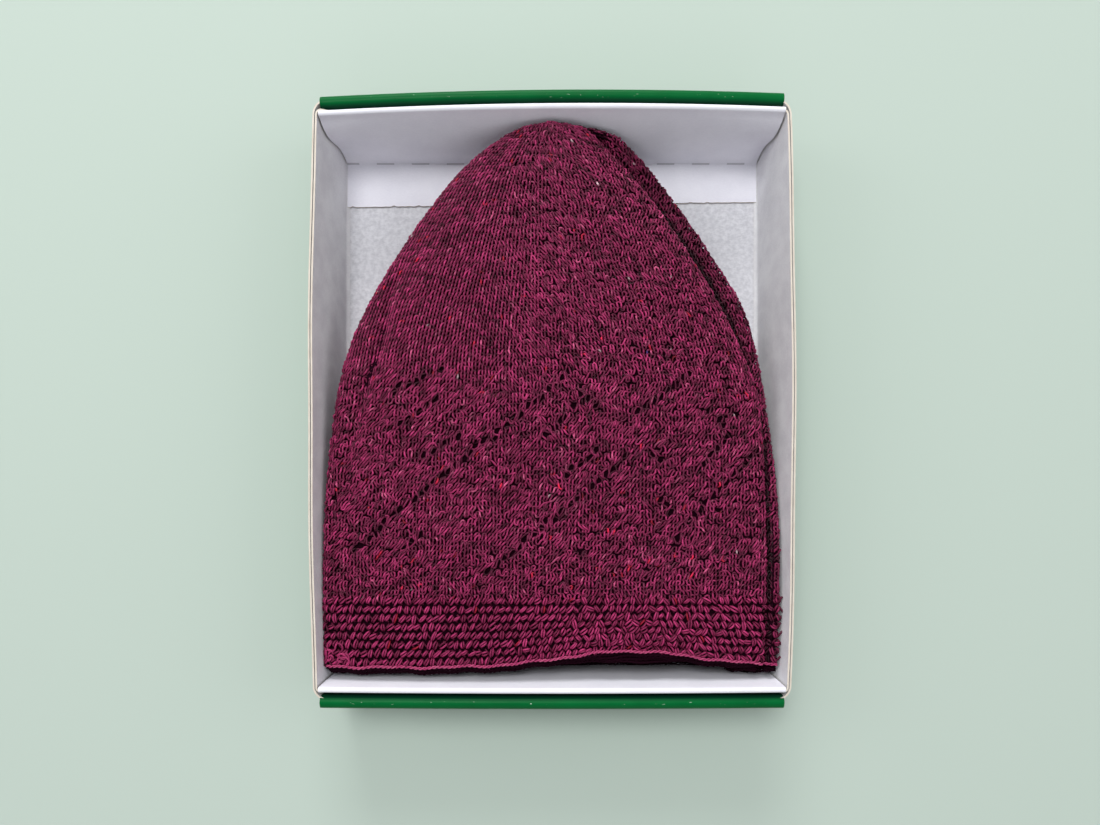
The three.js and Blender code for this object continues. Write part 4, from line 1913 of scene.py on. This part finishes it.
@dataclass
class Lid:
    """The green lid turned upside down under the tray, with rounded roll-over ends."""

    box: CardBox
    half_length: float = 137.7
    rim: float = 41.0
    roll: float = 5.9
    near_slack: float = 1.4
    roll_half_width: float = 104.3
    roll_foot: float = 2.0
    corner: float = 6.0
    flap: float = 16.0
    nesting_gap: float = 0.7
    worn_in: float = 1.4
    floor_end: float = 1.2
    end_columns: int = 100

    def build(self) -> list[bpy.types.Object]:
        """Makes the lid's sheets.

        Returns:
            The pieces.
        """
        box = self.box
        base = box.floor_half_width + box.card + self.nesting_gap
        edge = CutEdgeFinish("lid_cut_edge").material()
        grey = CardFinish("lid_inside", linear(206, 203, 200), linear(180, 176, 174)).material()
        green = GreenFinish("green_coat", self.half_length - self.worn_in, self.rim).material()
        floor = CardSheet("lid_floor", self._floor_grid(base)).build(grey, green, edge)
        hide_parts("lid")
        pieces = [floor]
        end_at = self.half_length - self.roll / 2
        wall = SideWall(base, 0.0, self.rim - box.card, end_at, self.corner, self.flap)
        for side in Side:
            grid = box.side_grid(side, wall)
            pieces.append(CardSheet(f"lid_{side.name.lower()}_side", grid).build(green, grey, edge))
        for end in End:
            outer = self.half_length + (self.near_slack if end is End.NEAR else 0.0)
            y, z = box.roll_path(box.card / 2, self.rim, outer, self.roll, self.roll_foot, 0.0)
            level = np.zeros(len(y))
            path = RollPath(y, z, level + self.roll_half_width, level, level)
            grid = box.roll_grid(end, path, self.rim, self.end_columns)
            pieces.append(CardSheet(f"lid_{end.name.lower()}_end", grid).build(grey, green, edge))
        return pieces

    def _floor_grid(self, base: float) -> np.ndarray:
        """Points of the lid's floor.

        Args:
            base: half-width inside its side walls.

        Returns:
            A flat grid.
        """
        x = np.linspace(-1, 1, 8) * (base + self.box.floor_overlap)
        y = np.linspace(-1, 1, 10) * (self.half_length - self.floor_end)
        x, y = np.meshgrid(x, y)
        return np.stack([x, y, np.full(x.shape, self.box.card / 2)], -1)


class Lamp(NamedTuple):
    """A square light that faces the part's origin: its place and size in metres, its power in watts."""

    name: str
    place: tuple[float, float, float]
    size: float
    power: float


@dataclass
class Studio:
    """Pale floor, soft light and the camera above the box."""

    camera_place: tuple[float, float, float] = (-0.9, -47.4, 372.0)
    focal_pixels: float = 738.0
    image_width: float = 1100.0
    axis_below_middle: float = 92.5
    sensor: float = 36.0
    nearest: float = 10.0
    floor_colour: Colour = linear(185, 199, 189)
    floor_half: float = 3000.0
    floor_height: float = -0.2
    floor_roughness: float = 0.9
    surround: Colour = (0.95, 0.98, 1.0)
    surround_strength: float = 0.4
    lamps: tuple[Lamp, ...] = (
        Lamp("key", (-0.35, 0.65, 1.95), 0.75, 21.0),
        Lamp("far", (-0.2, 2.0, 0.97), 0.9, 27.0),
        Lamp("left", (-1.8, 0.5, 1.15), 0.9, 5.0),
        Lamp("right", (1.8, 0.2, 1.2), 1.2, 6.2),
        Lamp("near", (0.1, -2.0, 1.2), 1.2, 4.0),
    )

    def build(self) -> None:
        """Adds the floor, the lights and the camera."""
        bpy.context.scene.view_settings.view_transform = "Standard"
        self._floor()
        self._surround()
        for lamp in self.lamps:
            self._light(lamp)
        self._camera()

    def _floor(self) -> None:
        """A wide plain floor under the lid."""
        signs = np.array([[-1, -1], [1, -1], [1, 1], [-1, 1]])
        corners = np.column_stack([signs * self.floor_half, np.full(4, self.floor_height)])
        paint = Graph("studio_floor").set(Base_Color=self.floor_colour, Roughness=self.floor_roughness)
        mesh_object("studio_floor", corners, [np.array([[0, 1, 2, 3]])], [paint])

    def _surround(self) -> None:
        """An even pale light from all round."""
        world = bpy.data.worlds.new("studio")
        world.use_nodes = True
        background = world.node_tree.nodes["Background"]
        background.inputs["Color"].default_value = (*self.surround, 1.0)
        background.inputs["Strength"].default_value = self.surround_strength
        bpy.context.scene.world = world

    @staticmethod
    def _light(lamp: Lamp) -> None:
        """Adds one soft light.

        Args:
            lamp: the light's place, size and power.
        """
        light = bpy.data.lights.new(lamp.name, "AREA")
        light.energy = lamp.power
        light.size = lamp.size
        made = bpy.data.objects.new(lamp.name, light)
        x, y, z = lamp.place
        made.location = lamp.place
        made.rotation_euler = (math.atan2(math.hypot(x, y), z), 0.0, math.atan2(x, -y))
        bpy.context.scene.collection.objects.link(made)

    def _camera(self) -> None:
        """A camera that looks straight down, its axis below the picture's middle."""
        camera = bpy.data.cameras.new("camera")
        camera.sensor_width = self.sensor
        camera.lens = self.sensor * self.focal_pixels / self.image_width
        camera.shift_y = self.axis_below_middle / self.image_width
        camera.clip_start = self.nearest * MM
        made = bpy.data.objects.new("camera", camera)
        made.location = [place * MM for place in self.camera_place]
        bpy.context.scene.collection.objects.link(made)
        bpy.context.scene.camera = made


class Slot(Enum):
    """Material slots of the record, by the start of a piece's name."""

    CROWN = ("crown", "crown_knit")
    BAND = ("band", "band_knit")
    HEM = ("hem", "band_knit")
    TRAY = ("tray", "white_card")
    LID = ("lid", "green_card")

    @classmethod
    def of(cls, name: str) -> str:
        """The slot of a piece.

        Args:
            name: the piece's name.

        Returns:
            The slot's name.
        """
        return next(slot for start, slot in (member.value for member in cls) if name.startswith(start))


def main() -> None:
    """Builds the cap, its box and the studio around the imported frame."""
    logging.basicConfig(level=logging.INFO, format="%(name)s: %(message)s")
    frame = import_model()
    log.info("frame of %d nodes", len(frame["nodes"]))
    rng = np.random.default_rng(SEED)
    form, box = CapForm(), CardBox()
    pieces = [
        *Crown(form, Lace()).build(rng),
        *Band(form).build(rng),
        *Tray(box).build(rng),
        *Lid(box).build(),
    ]
    for piece in pieces:
        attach(piece, BODY)
        Slot.of(piece.name)
        log.info("%s: %d faces", piece.name, len(piece.data.polygons))
    Studio().build()


if __name__ == "__main__":
    main()
